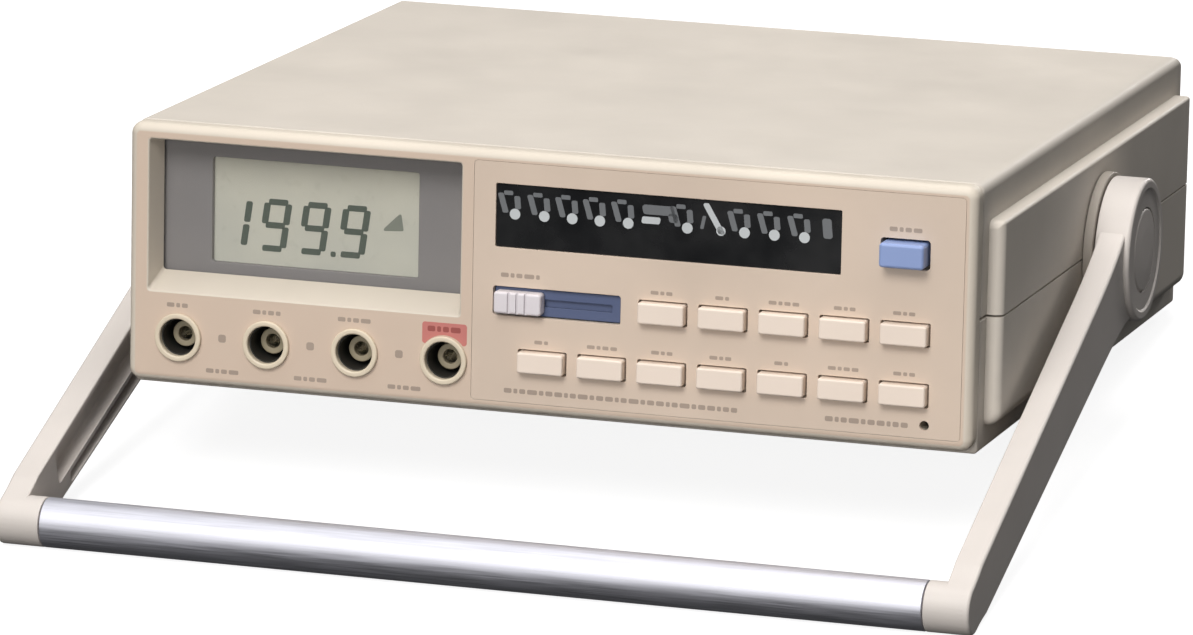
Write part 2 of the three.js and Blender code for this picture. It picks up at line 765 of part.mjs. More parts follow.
// A flange on the case's side with a ratchet wheel that sits in the hub's cup.
function pivotStub() {
  const { teeth, tip, root } = RATCHET;
  const wheel = new THREE.Shape();
  for (let i = 0; i < 2 * teeth; i++) {
    const radius = i % 2 ? root : tip;
    const angle = (i * Math.PI) / teeth;
    const point = [HANDLE.y + radius * Math.cos(angle), HANDLE.z + radius * Math.sin(angle)];
    if (i === 0) wheel.moveTo(...point);
    else wheel.lineTo(...point);
  }
  const centre = [HANDLE.y, HANDLE.z];
  const flangeOuter = HUB.inner - GAP;
  return cut(
    joined(
      disc(PIVOT.flange, "x", SIDE.half + GAP, flangeOuter, centre, 40),
      extrude(wheel, "x", flangeOuter - 1, PIVOT.wheelEnd),
    ),
    disc(PIVOT.bore, "x", 100, 150, centre, 16),
  );
}
const stubSolid = pivotStub();
place("pivot_stub_right", stubSolid, darkPlastic);
place("pivot_stub_left", stubSolid, darkPlastic).scale.x = -1;

const { screw, screwHead } = PIVOT;
const pivotScrewProfile = [
  [0, 118],
  [screw, 118],
  [screw, 133.8],
  [screwHead, 133.8],
  [screwHead, 135],
  [0, 135],
];
const pivotScrew = turned(pivotScrewProfile, "x", [HANDLE.y, HANDLE.z], 16);
place("pivot_screw_right", pivotScrew, steel);
place("pivot_screw_left", pivotScrew, steel).scale.x = -1;

// ---------------------------------------------------------- standing it up

// The tilt at which the tube and the rear feet's back edges are equally low.
const tubeY = HANDLE.y - HANDLE.reach * Math.cos(HANDLE.drop);
const tubeZ = HANDLE.z - HANDLE.reach * Math.sin(HANDLE.drop);
const span = FOOT.rearY + FOOT.radius - 0.5 - tubeY;
const rise = FOOT.bottom - tubeZ;
const tilt = Math.atan2(rise, span) + Math.asin(HANDLE.tube / Math.hypot(span, rise));

level.rotation.x = -tilt;
const meter = new THREE.Group();
meter.add(level);
meter.updateMatrixWorld(true);
const box = new THREE.Box3().setFromObject(meter, true);
level.position.set(0, -(box.min.y + box.max.y) / 2, -box.min.z);

export default meter;
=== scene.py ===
"""The looks of a bench LCR meter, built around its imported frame.

Shapes are drawn in the level case's own axes, in millimetres: x to the right with 0 at
the middle, y to the rear with 0 on the bezel's face, z up with 0 at the bezel's lower
edge. LEVEL takes them to the row frame, where the meter leans back on its handle. The
handle's pieces are drawn about its pivot, with the arms along -y, and HANDLE takes them.
Materials are drawn in the row frame, in metres.
"""

import json
import math

import bmesh
import bpy
from mathutils import Matrix, Vector


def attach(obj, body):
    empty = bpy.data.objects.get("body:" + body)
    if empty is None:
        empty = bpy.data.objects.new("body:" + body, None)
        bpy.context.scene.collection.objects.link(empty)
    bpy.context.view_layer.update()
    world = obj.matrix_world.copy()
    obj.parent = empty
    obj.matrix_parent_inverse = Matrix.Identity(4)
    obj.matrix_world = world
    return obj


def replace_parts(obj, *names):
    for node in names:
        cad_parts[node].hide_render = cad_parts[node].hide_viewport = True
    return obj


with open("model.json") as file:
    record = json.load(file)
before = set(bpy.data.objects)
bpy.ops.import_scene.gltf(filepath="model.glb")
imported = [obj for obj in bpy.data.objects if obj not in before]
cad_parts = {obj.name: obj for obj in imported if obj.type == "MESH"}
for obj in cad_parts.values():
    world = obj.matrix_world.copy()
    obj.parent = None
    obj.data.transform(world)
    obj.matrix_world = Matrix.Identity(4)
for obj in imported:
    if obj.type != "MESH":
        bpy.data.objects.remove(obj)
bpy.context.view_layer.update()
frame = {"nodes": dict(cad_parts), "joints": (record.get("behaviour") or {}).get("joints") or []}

# ---- sizes, mm

MM, FIT, WELD = 0.001, 0.3, 1e-4
ARC_STEP, SHARP_ANGLE = math.radians(9), math.radians(40)
SMALL_ROUND, ROUND, LARGE_ROUND = 48, 72, 96

CASE_HALF, CASE_TOP, CASE_UNDER = 120, 72, -1.6
CASE_FRONT, CASE_REAR = 6.4, 226
CASE_WALL, CASE_CORNER, CASE_LOWER_CORNER, CASE_REAR_CORNER = 2.6, 3, 1.2, 7
COVER_BEVEL, COVER_LIP, COVER_INNER_CORNER = 0.9, 0.4, 1
SPLIT_LOW, SPLIT_HIGH = 34.9, 35.5
PAD_ROOT, PAD_HALF, PAD_FRONT, PAD_REAR, PAD_LOW, PAD_HIGH = 116, 124.4, 12.5, 221, 5, 61
PAD_LOWER_CORNER, PAD_UPPER_CORNER, PAD_BEVEL = 4, 1, 2.4

SCREW_PLACES = [(x, y) for y in (38, 196) for x in (-112, 112)]
SCREW_RECESS, SCREW_RECESS_DEPTH = 3.5, 1.6
SCREW_HEAD, SCREW_HEAD_HEIGHT = 3.1, 1.2
CROSS_LENGTH, CROSS_WIDTH, CROSS_DEPTH = 1.8, 0.35, 0.8
FOOT_NODES = ("foot_front_left", "foot_front_right", "foot_rear_left", "foot_rear_right")
FOOT_HEIGHT, FOOT_HOLLOW, FOOT_HOLLOW_DEPTH = 3.7, 3.2, 1.2

BEZEL_DEPTH, BEZEL_CORNER, BEZEL_BEVEL, BEZEL_REAR_BEVEL = 6, 3.5, 2.6, 0.8
TUNNEL, TUNNEL_FRONT, TUNNEL_REAR = (-116.7, -20.5, 22.8, 69), 2.5, 12
MOUTH = (-114.2, -24, 25.5, 67.7)
RECESS_BACK = (-112.7, -25.2, 30, 66.5)
RECESS_DEPTH, RECESS_CORNER, LENS_SEAT_REAR = 8, 1.0, 13
PLATE_BACK, UNDER_OVERLAY, SEAT_CORNER = 8, 0.5, 0.3
OVERLAY_CORNER, OVERLAY_SEAT_CORNER, OVERLAY_GAP, OVERLAY_BEVEL = 1.0, 1.1, 0.08, 0.06
WINDOW_CORNER, WINDOW_BEVEL = 0.4, 0.1
DISPLAY_OPENING = (-99.3, -39.6, 32.8, 62)
GLASS_INSET, GLASS_THICK, GLASS_BEVEL = 2, 1.1, 0.15
TRIMMER = (1.3, 107, 6.5)

KEYS, JACKS = range(1, 13), range(1, 5)
KEY_FLANGE, KEY_GAP, KEY_HOLE_CORNER = 1.0, 0.4, 0.5
KEY_CORNER, KEY_BEVEL, KEY_BACK, KEY_FLANGE_ENDS = 0.7, 0.6, 4.2, (3.4, 4.6)
KEY_STEM_HALF, KEY_STEM_INSET, KEY_STEM_FRONT = 2.5, 1.4, 4.3
POWER_GAP, POWER_CORNER, POWER_BEVEL, POWER_BACK, POWER_STEM_FRONT = 0.7, 1, 0.9, 4.5, 4.2
POWER_STEM_INSETS = (3.7, 1.2)
SLOT_LIP, SLOT_CORNER = 2, 0.8
SWITCH_FACE, SWITCH_BODY, SWITCH_BACK, GROOVE_FLOOR = 1.2, 3.4, 18.6, 2.2
KNOB_FOOT, KNOB_CORNER, KNOB_BEVEL, KNOB_STEM_END = 0.9, 0.9, 0.7, 2
GRIP_SHIFTS, GRIP_HALF, GRIP_DEPTH = (-2.4, 0, 2.4), 0.35, 0.6

COLLAR_HOLE, COLLAR_FLOOR_DEPTH = 6.15, 3
COLLAR_RIM, COLLAR_RIM_BACK, COLLAR_BODY, COLLAR_BORE, COLLAR_THROAT = 6.7, -0.3, 5.85, 5.2, 3.8
SOCKET_BORE, SOCKET_BORE_END, SOCKET_RADIUS, SOCKET_END, SOCKET_TAIL = 2, 26, 3.5, 27, 1.1
# A dark tube of painted shade inside each collar, and a pale ring of painted highlight round each
# socket's mouth.
SHADE_LINING_RADII, SHADE_LINING_ENDS = (4.8, 5.15), (0.6, 20)
LIT_SLEEVE_RADII, LIT_SLEEVE_ENDS = (2, 3.6), (5.2, 7.1)

INK_PROUD, LABEL_PROUD, PATCH_PROUD, INK_SUNK = 0.06, 0.03, 0.04, 0.02
DASHES, DASH_GAP, SHORTEST_DASH = (2.2, 1.1, 1.7, 2.8, 1.3, 2.0), 0.55, 0.8
DIGIT_HALF, DIGIT_RISE, DIGIT_PITCH, DIGIT_SLANT = 3.1, 6.5, 11.4, 0.14
FIRST_DIGIT, DIGIT_MIDDLE = -93.0, 43.9
# (across, up) from the digit's middle, in halves of its width and in rises.
SEGMENTS = {"a": (0, 1), "g": (0, 0), "d": (0, -1), "f": (-1, 0.5), "b": (1, 0.5), "c": (1, -0.5)}
LEVEL_SEGMENT, UPRIGHT_SEGMENT = (2 * DIGIT_HALF - 0.6, 1.7), (1.9, DIGIT_RISE - 0.7)
UNIT_MARK = [(-50.8, 44.8, 0.4), (-44.4, 45.2, 0.4), (-45.2, 50.2, 0.4), (-47.2, 48.4, 0.4)]
GLYPHS = (-9.0, -0.7, 7.2, 15.0, 23.0, 39.6, 55.6, 63.9, 72.3)
GLYPH_DOT, DOT_ROUND = (54.7, 1.5), 24
# Each stroke is (x, z, width, height, slant); a glyph's strokes start from its own x.
DECIMAL_POINT = (-64.7, 37.2, 1.5, 1.5, 0)
GLYPH_STROKES = (
    (0.7, 57.9, 1.7, 3.6, -0.1),
    (-3.4, 57.6, 1.7, 5.4, -0.3),
    (-1.9, 60.4, 2.6, 1.2, -0.1),
)
BRIGHT_STROKES = ((29.4, 56.0, 5.2, 1.9, 0.2), (47.0, 57.8, 1.9, 8.2, -0.6))
BRIGHT_DOT = (49.0, 54.6, 1.3)
FAINT_STROKES = (
    (31.5, 58.9, 9.0, 2.6, -0.2), (35.6, 57.0, 2.6, 2.4, -0.2),
    (78.6, 57.6, 2.6, 5.4, -0.1), (44.0, 56.6, 1.0, 3.6, 0.2),
)

CUT_FRONT, CUT_REAR = 200, 240
INLET_HOLE_INSETS, INLET_BODY_INSETS, INLET_FLANGE = (2.2, 1.9), (2.5, 2.2), 3.4
WELL_HALF, WELL_HALF_HEIGHT, WELL_DEPTH = 12.2, 8.2, 18
PIN_PLACES, PIN_HALF, PIN_HALF_HEIGHT, PIN_TIP = ((-7, -2), (0, 2), (7, -2)), 1, 2, 6
FUSE_HOLE, FUSE_RIBS, FUSE_RIB, FUSE_RIB_CIRCLE, FUSE_RIB_LENGTH = 6.3, 24, 0.45, 6.6, 2.2
FUSE_SLOT, FUSE_SLOT_DEPTH = (5, 0.6), 1.2
RATING_PLATE, RATING_LINE_END, RATING_LINE_HEIGHT = (18, 70, 12, 34), 66, 1.2
RATING_LINES = ((29.5, 24), (25.5, 40), (22, 33), (18.5, 38), (15, 18))

PIVOT = (0, 117.6, 35.2)
HANDLE_DROP = math.radians(21.1)
REACH, TUBE_RADIUS, TUBE_BORE, TUBE_END = 180.3, 6.8, 5.75, 123.2
SPIGOT, SPIGOT_LENGTH = 5.4, 14
ARM_INNER, ARM_OUTER, ARM_HALF_WIDTH, ARM_TAPER = 128.5, 136, 11.3, 0.0195
NECK_TURN, NECK_BEND, WAIST = 0.76, 24, 46
SHOULDER, SHOULDER_BEND = REACH - 10, REACH - 4
POCKET_START, POCKET_CORNER = 27, 1.2
HUB_RADIUS, HUB_INNER, HUB_OUTER = 20, 127.6, 137.5
HUB_CUP, HUB_CUP_FLOOR, HUB_CAP, HUB_CAP_FLOOR, HUB_ROUND = 15.3, 131.5, 12, 133.5, 120
CAP_BACK = 135.3
WHEEL_TEETH, WHEEL_ROOT, STUB_FLANGE, STUB_BORE = 18, 1.3, 21, 2.4
# (radius, turn) of a ratchet tooth's four corners.
TOOTH = ((14.8, -0.045), (14.8, 0.045), (13.6, 0.13), (13.6, 0.22))

# ---- the stage, in metres

# The camera stands at the photograph's viewing angle.
CAMERA_PLACE = (0.6530, -2.02646, 0.72855)
CAMERA_TURN = (71.8663, 0.9228, 17.8696)
CAMERA_LENS, CAMERA_REACH = 241.4, 50

FLOOR_SIZE, FLOOR_TINT, FLOOR_GLOW = 9, (0.3, 0.3, 0.3, 1), 0.88
SKY_TINT, SKY_DIM, SKY_BRIGHT = (0.97, 0.98, 1, 1), 0.03, 0.37
LAMP_TINT = (1, 0.98, 0.96)
# name, place in metres, diameter in metres, watts
LAMPS = (
    ("key_light", (-0.15, -2.1, 2.3), 1.6, 53),
    ("top_light", (0.2, 0.4, 3.0), 1.6, 42),
    ("front_light", (0.1, -2.4, 0.6), 1.0, 18),
    ("rear_light", (0.5, 2.4, 0.6), 0.3, 12),
)

# ---- places and boxes


def joint(name):
    return next(j for j in frame["joints"] if j["name"] == name)


def level_matrix():
    """From millimetres in the level case's axes to metres in the row frame."""
    right = Vector((1, 0, 0))
    rearward = Vector(joint("key_1_press")["axis"])
    turn = Matrix((right, rearward, right.cross(rearward))).transposed().to_4x4()
    pivot = Matrix.Translation(joint("handle_swing")["pos_m"])
    return pivot @ turn @ Matrix.Scale(MM, 4) @ Matrix.Translation(-Vector(PIVOT))


LEVEL = level_matrix()
HANDLE = LEVEL @ Matrix.Translation(PIVOT) @ Matrix.Rotation(HANDLE_DROP, 4, "X")


def level_box(node):
    """(x0, x1, y0, y1, z0, z1) of a CAD node in the level case's axes, in millimetres."""
    back = LEVEL.inverted()
    points = [back @ vertex.co for vertex in frame["nodes"][node].data.vertices]
    return tuple(pick(p[axis] for p in points) for axis in range(3) for pick in (min, max))


def face_of(node):
    """(x0, x1, z0, z1) of a CAD node, as seen from the front."""
    x0, x1, _, _, z0, z1 = level_box(node)
    return x0, x1, z0, z1


def depths_of(node):
    """(y0, y1) of a CAD node."""
    return level_box(node)[2:4]


def middle_of(box):
    x0, x1, z0, z1 = box
    return (x0 + x1) / 2, (z0 + z1) / 2


def grown(box, margin):
    x0, x1, z0, z1 = box
    return x0 - margin, x1 + margin, z0 - margin, z1 + margin


def trimmed(box, sides, ends):
    """A box made narrower by one inset and lower by another."""
    x0, x1, z0, z1 = box
    return x0 + sides, x1 - sides, z0 + ends, z1 - ends


def around(a, b, half_width, half_height):
    """A box about a point."""
    return a - half_width, a + half_width, b - half_height, b + half_height


# ---- outlines


def arc_in_corner(before, corner, after, radius):
    """Points along the rounding of a corner, made smaller where its sides are short."""
    to_before = before - corner
    to_after = after - corner
    half = to_before.angle(to_after) / 2
    nearly_half = 0.49
    most = nearly_half * min(to_before.length, to_after.length)
    reach = min(radius / math.tan(half), most)
    radius = reach * math.tan(half)
    inward = (to_before.normalized() + to_after.normalized()).normalized()
    centre = corner + inward * (radius / math.sin(half))
    start = corner + to_before.normalized() * reach - centre
    end = corner + to_after.normalized() * reach - centre
    sweep = math.pi - 2 * half
    if start.x * end.y - start.y * end.x < 0:
        sweep = -sweep
    steps = max(1, math.ceil(abs(sweep) / ARC_STEP))
    return [centre + Matrix.Rotation(sweep * i / steps, 2) @ start for i in range(steps + 1)]


def area(corners):
    nexts = corners[1:] + corners[:1]
    return sum(p[0] * q[1] - q[0] * p[1] for p, q in zip(corners, nexts)) / 2


def points_of(corners, inset=0.0):
    """The points of an outline of (a, b, radius) corners, moved inwards by an inset."""
    side = 1 if area(corners) > 0 else -1
    count = len(corners)
    smallest = 0.02
    spots = [Vector(corner[:2]) for corner in corners]
    moved, turns = [], []
    for i, here in enumerate(spots):
        before = (here - spots[i - 1]).normalized()
        after = (spots[(i + 1) % count] - here).normalized()
        outward = Vector((before.y + after.y, -before.x - after.x)) * side
        moved.append(here - outward * (inset / (1 + before.dot(after))))
        turns.append((before.x * after.y - before.y * after.x) * side)
    points = []
    for i, (_, _, radius) in enumerate(corners):
        if radius == 0:
            points.append(moved[i])
            continue
        left = max(smallest, radius - inset if turns[i] > 0 else radius + inset)
        points += arc_in_corner(moved[i - 1], moved[i], moved[(i + 1) % count], left)
    return points


def rect(x0, x1, z0, z1, lower=0.0, upper=None):
    """A box's outline, with a radius for its lower corners and another for its upper ones."""
    upper = lower if upper is None else upper
    return [(x0, z0, lower), (x1, z0, lower), (x1, z1, upper), (x0, z1, upper)]


def circle(radius, turn, a=0.0, b=0.0):
    """The point at a turn round a circle, as an outline's corner."""
    return a + radius * math.cos(turn), b + radius * math.sin(turn), 0


def disc(radius, a, b, points=SMALL_ROUND):
    return [circle(radius, math.tau * i / points, a, b) for i in range(points)]


def rounding(radius, steps):
    """(inset, depth) pairs down a rounded edge, from the end face to the full outline."""
    if radius == 0:
        return [(0, 0)]
    turns = [math.pi / 2 * i / steps for i in range(steps + 1)]
    return [(radius * (1 - math.sin(turn)), radius * (1 - math.cos(turn))) for turn in turns]


# ---- solids


def lifted(point, along, height):
    """A point of an outline, placed in space at a height along an axis."""
    a, b = point
    return {"x": (height, a, b), "y": (a, height, b), "z": (a, b, height)}[along]


def loft(rings):
    """A closed solid through rings with equal numbers of points."""
    solid = bmesh.new()
    loops = [[solid.verts.new(point) for point in ring] for ring in rings]
    for low, high in zip(loops, loops[1:]):
        for i in range(len(low)):
            solid.faces.new((low[i - 1], low[i], high[i], high[i - 1]))
    solid.faces.new(loops[0])
    solid.faces.new(loops[-1])
    bmesh.ops.recalc_face_normals(solid, faces=solid.faces)
    return solid


def stacked(outline, along, levels):
    """A solid through an outline at (inset, height) levels along an axis."""
    return loft(
        [[lifted(p, along, height) for p in points_of(outline, inset)] for inset, height in levels]
    )


def prism(outline, along, low, high, bevel=0.0, far_bevel=None, steps=3):
    """An outline drawn out from low to high, with rounded edges at its two ends."""
    far_bevel = bevel if far_bevel is None else far_bevel
    levels = [(inset, low + depth) for inset, depth in rounding(bevel, steps)]
    levels += [(inset, high - depth) for inset, depth in reversed(rounding(far_bevel, steps))]
    return stacked(outline, along, levels)


def slab(box, radius, front, back, bevel=0.0, far_bevel=None, steps=3):
    """A plate from its front to its back, with rounded corners and edges."""
    return prism(rect(*box, radius), "y", front, back, bevel, far_bevel, steps)


def cutter(outline, surface, far, flare=0.2):
    """A tool that cuts a hole rearwards from a surface and rounds the hole's front edge."""
    levels = [(-flare, surface - 1)]
    levels += [(-inset, surface + depth) for inset, depth in rounding(flare, 2)]
    levels.append((0, far))
    return stacked(outline, "y", levels)


def lathe(profile, along, centre=(0, 0), segments=ROUND):
    """A (radius, height) profile turned about an axis. It ends on the axis or closes on itself."""
    solid = bmesh.new()
    loops = []
    for radius, height in profile:
        turns = [math.tau * i / segments for i in range(segments if radius > 0 else 1)]
        spots = [circle(radius, turn, *centre)[:2] for turn in turns]
        loop = [solid.verts.new(lifted(spot, along, height)) for spot in spots]
        loops.append(loop if radius > 0 else loop * segments)
    pairs = list(zip(loops, loops[1:]))
    if profile[0][0] > 0:
        pairs.append((loops[-1], loops[0]))
    for low, high in pairs:
        for i in range(segments):
            corners = dict.fromkeys((low[i - 1], low[i], high[i], high[i - 1]))
            solid.faces.new(tuple(corners))
    bmesh.ops.recalc_face_normals(solid, faces=solid.faces)
    return solid


def turned(corners, along, centre=(0, 0), segments=ROUND):
    """A solid turned from (radius, height, rounding) corners that start and end on the axis."""
    inner = [(p.x, p.y) for p in points_of(corners) if p.x > 1e-6]
    ends = (0, corners[0][1]), (0, corners[-1][1])
    return lathe([ends[0], *inner, ends[1]], along, centre, segments)


def ring(corners, along, centre=(0, 0), segments=ROUND):
    """A hollow solid turned from closed (radius, height, rounding) corners."""
    return lathe([(p.x, p.y) for p in points_of(corners)], along, centre, segments)


def pipe(radii, heights, roundings, along, centre, segments=ROUND):
    """A tube with roundings for its inner and outer rims, at one end and then the other."""
    (inner, outer), (low, high) = radii, heights
    corners = [(inner, low), (outer, low), (outer, high), (inner, high)]
    rims = [(*corner, radius) for corner, radius in zip(corners, roundings)]
    return ring(rims, along, centre, segments)


def in_scene(name, data):
    """A new object in the scene."""
    made = bpy.data.objects.new(name, data)
    bpy.context.scene.collection.objects.link(made)
    return made


def as_object(solid, name="solid"):
    mesh = bpy.data.meshes.new(name)
    solid.to_mesh(mesh)
    solid.free()
    return in_scene(name, mesh)


def combined(operation, body, tools):
    """The result of joining tools to a body or cutting them from it, with no stray points."""
    base = as_object(body)
    others = [as_object(tool) for tool in tools]
    for other in others:
        modifier = base.modifiers.new("combine", "BOOLEAN")
        modifier.operation = operation
        modifier.solver = "MANIFOLD"
        modifier.object = other
    seen = base.evaluated_get(bpy.context.evaluated_depsgraph_get())
    result = bmesh.new()
    result.from_mesh(seen.data)
    for piece in [base, *others]:
        bpy.data.meshes.remove(piece.data)
    bmesh.ops.remove_doubles(result, verts=result.verts, dist=WELD)
    bmesh.ops.dissolve_degenerate(result, edges=result.edges, dist=WELD)
    return result


def fused(body, *tools):
    return combined("UNION", body, tools)


def carved(body, *tools):
    return combined("DIFFERENCE", body, tools)


def together(solids):
    """Several separate solids in one mesh."""
    whole = bmesh.new()
    for solid in solids:
        mesh = bpy.data.meshes.new("part")
        solid.to_mesh(mesh)
        solid.free()
        whole.from_mesh(mesh)
        bpy.data.meshes.remove(mesh)
    return whole


def mirrored(solid):
    """A copy of the solid for the other side of the case."""
    other = solid.copy()
    bmesh.ops.scale(other, vec=(-1, 1, 1), verts=other.verts)
    bmesh.ops.reverse_faces(other, faces=other.faces)
    return other


# ---- finishes


def colour(text, gain=1.0):
    """A linear colour from a hexadecimal one."""
    parts = [int(text[i : i + 2], 16) / 255 for i in (1, 3, 5)]
    linear = [p / 12.92 if p <= 0.04045 else ((p + 0.055) / 1.055) ** 2.4 for p in parts]
    return (*[min(1.0, gain * p) for p in linear], 1.0)


def feed(node, values):
    """Sets a node's inputs, each to a constant or to another node's output."""
    for name, value in values.items():
        if isinstance(value, bpy.types.NodeSocket):
            node.id_data.links.new(value, node.inputs[name])
        else:
            node.inputs[name].default_value = value
    return node


class Tree:
    """A material's nodes, with short calls that add to them. Sizes are in metres."""

    def __init__(self, name):
        self.material = bpy.data.materials.new(name)
        self.material.use_nodes = True
        self.nodes = self.material.node_tree.nodes
        self.place = self.node("TexCoord", {}).outputs["Object"]

    def node(self, kind, values):
        return feed(self.nodes.new(f"ShaderNode{kind}"), values)

    def look(self, values):
        return feed(self.nodes["Principled BSDF"], values)

    def noise(self, size, detail=3.0, stretch=(1, 1, 1)):
        place = self.node("Mapping", {"Vector": self.place, "Scale": stretch})
        values = {"Vector": place.outputs["Vector"], "Scale": 1 / size, "Detail": detail}
        return self.node("TexNoise", values).outputs["Fac"]

    def spread(self, value, low, high, start=0.3, end=0.7):
        """Takes values between start and end to values between low and high."""
        ends = {"From Min": start, "From Max": end, "To Min": low, "To Max": high}
        return self.node("MapRange", {"Value": value, **ends}).outputs["Result"]

    def mix(self, factor, first, second):
        blend = self.nodes.new("ShaderNodeMix")
        blend.data_type = "RGBA"
        return feed(blend, {0: factor, 6: first, 7: second}).outputs[2]

    def part(self, vector, axis):
        return self.node("SeparateXYZ", {"Vector": vector}).outputs[axis]

    def crease(self, reach):
        """1 on open surfaces, falling to 0 in corners closer than the reach."""
        shade = self.node("AmbientOcclusion", {"Distance": reach})
        shade.samples = 4
        shade.only_local = True
        return shade.outputs["AO"]

    def facing_front(self):
        """1 on flat faces towards the front, 0 on the roundings and in the recess."""
        normal = self.node("NewGeometry", {}).outputs["Normal"]
        return self.spread(self.part(normal, "Y"), 1, 0, -0.99, -0.96)

    def tinted(self, value, tint, darkest, brightest):
        """Takes the base colour from a darker to a brighter shade of a tint."""
        shades = colour(tint, darkest), colour(tint, brightest)
        self.look({"Base Color": self.mix(self.spread(value, 0, 1), *shades)})

    def roughened(self, value, low, high):
        self.look({"Roughness": self.spread(value, low, high)})

    def bump(self, height, strength, distance):
        values = {"Height": height, "Strength": strength, "Distance": distance}
        self.look({"Normal": self.node("Bump", values).outputs["Normal"]})


def moulded(
    name, tint, rough=0.5, shift=0.05, grain=0.25, grain_size=0.0005, dirt=0.25, face=None
):
    """Moulded plastic: soft drifts of colour, spark-eroded grain and painted shade that darkens
    the corners.
    """
    tree = Tree(name)
    drift = tree.spread(tree.noise(size=0.045, detail=4), 0, 1)
    base = tree.mix(drift, colour(tint, 1 - shift), colour(tint, 1 + shift))
    if face:
        base = tree.mix(tree.facing_front(), base, colour(face))
    # Painted shade: the colour darkens where other surfaces lie within 3 mm, in corners and
    # crevices.
    if dirt:
        unshaded = tree.spread(tree.crease(reach=0.003), 0, 1, 0.25, 0.9)
        base = tree.mix(unshaded, colour(tint, 1 - dirt), base)
    tree.look({"Base Color": base})
    tree.roughened(tree.noise(size=0.012), rough - 0.06, rough + 0.07)
    tree.bump(tree.noise(grain_size, detail=2), grain, distance=0.00006)
    return tree.material


def metal(name, tint, rough=0.3, stretch=(1, 1, 1)):
    """Metal with drawn or turned lines and uneven polish."""
    tree = Tree(name)
    lines = tree.noise(size=0.0004, stretch=stretch)
    tree.tinted(lines, tint, 0.9, 1.08)
    tree.look({"Metallic": 1.0})
    tree.roughened(lines, rough - 0.07, rough + 0.09)
    tree.bump(lines, strength=0.15, distance=0.00003)
    return tree.material


def rubber(name, tint):
    """Matt rubber with a fine speckle."""
    tree = Tree(name)
    speckle = tree.noise(size=0.0012, detail=4)
    tree.tinted(speckle, tint, 0.75, 1.3)
    tree.roughened(speckle, 0.75, 0.95)
    tree.bump(speckle, strength=0.4, distance=0.0001)
    return tree.material


def board(name, tint):
    """Green solder mask over a maze of copper tracks."""
    tree = Tree(name)
    shades = {"Color1": colour(tint), "Color2": colour(tint, 0.85), "Mortar": colour(tint, 1.7)}
    layout = {"Vector": tree.place, "Scale": 120, "Mortar Size": 0.03}
    tracks = tree.node("TexBrick", shades | layout)
    tree.look({"Base Color": tracks.outputs["Color"]})
    tree.roughened(tree.noise(size=0.004), 0.3, 0.5)
    tree.bump(tracks.outputs["Fac"], strength=0.3, distance=0.00005)
    return tree.material


def windings(name, tint):
    """Taped coils: close bands across the transformer."""
    tree = Tree(name)
    bands = tree.noise(size=0.0009, detail=2, stretch=(0.05, 0.05, 1))
    tree.tinted(bands, tint, 0.7, 1.25)
    tree.roughened(bands, 0.35, 0.6)
    tree.bump(bands, strength=0.5, distance=0.0002)
    return tree.material


def lcd(name, upper, lower):
    """Reflective display glass: one tint at the bottom, another at the top, faintly cloudy. The
    lighter top tint is painted light against the shade under the recess's top lip.
    """
    tree = Tree(name)
    height = tree.spread(tree.part(tree.place, "Z"), 0, 1, start=0.068, end=0.090)
    # Painted light: the colour ramps up to the lighter upper tint towards the top of the display.
    top_lit_ramp = tree.mix(height, colour(lower), colour(upper))
    haze = tree.spread(tree.noise(size=0.02), 0, 1)
    cloud = tree.mix(haze, colour(lower, 0.96), colour(upper, 1.08))
    tree.look({"Base Color": tree.mix(0.35, top_lit_ramp, cloud)})
    tree.roughened(tree.noise(size=0.003), 0.25, 0.4)
    return tree.material


def clear_pane(name, tint):
    """A clear window: mostly see-through, with a smudged gloss on it."""
    tree = Tree(name)
    tree.roughened(tree.noise(size=0.015), 0.04, 0.18)
    gloss = tree.look({"Base Color": colour(tint)}).outputs["BSDF"]
    through = tree.node("BsdfTransparent", {}).outputs["BSDF"]
    share = tree.node("MixShader", {0: 0.08, 1: through, 2: gloss})
    feed(tree.nodes["Material Output"], {"Surface": share.outputs["Shader"]})
    return tree.material


FINISH = {}


def define(name, *tints, kind=moulded, **details):
    FINISH[name] = kind(name, *tints, **details)


# The record's material slots.
define("case_plastic", "#d9d1c6", rough=0.6)
define("bezel_plastic", "#dfd5c6", face="#dbc6b3")
define("panel_overlay", "#ddcab8", rough=0.45, grain=0.12, dirt=0.1)
define("legend_black", "#141517", rough=0.25, grain=0.05, dirt=0)
define("display_lens", "#8c8a86", kind=clear_pane)
define("display_mask", "#8f8c8c", rough=0.45, grain=0.1, dirt=0.2)
# The lighter upper tint is painted light against the shade that the recess's top lip casts on the
# display.
define("lcd_glass", "#dfddcc", "#d2d3c7", kind=lcd)
define("key_plastic", "#f8e8d9", rough=0.45, shift=0.03, dirt=0.15)
define("blue_plastic", "#94a9da", rough=0.4, dirt=0.2)
define("dark_blue_plastic", "#566284", rough=0.45, dirt=0.3)
define("knob_plastic", "#e8e2e6", rough=0.35, shift=0.02, dirt=0.2)
define("jack_plastic", "#e6d8c0", rough=0.45, dirt=0.35)
define("handle_plastic", "#d8d1cb")
define("dark_plastic", "#2c2a26", rough=0.6, dirt=0)
define("black_plastic", "#1b1b1c", rough=0.45, dirt=0)
define("foot_rubber", "#26262a", kind=rubber)
define("grey_silicone", "#9c9da1", kind=rubber)
define("brushed_tube", "#dcdde6", kind=metal, rough=0.52, stretch=(0.02, 1, 1))
define("rear_aluminium", "#cfc7ba", grain=0.4, grain_size=0.0009)
define("nickel", "#c9c4b6", kind=metal)
define("steel", "#a9aaad", kind=metal, rough=0.35)
define("circuit_board", "#2d5a3c", kind=board)
define("transformer", "#8a5a33", kind=windings)

# Finishes of single pieces, which take their slot from what they lie on.
define("pivot_plastic", "#a39b91", rough=0.55)
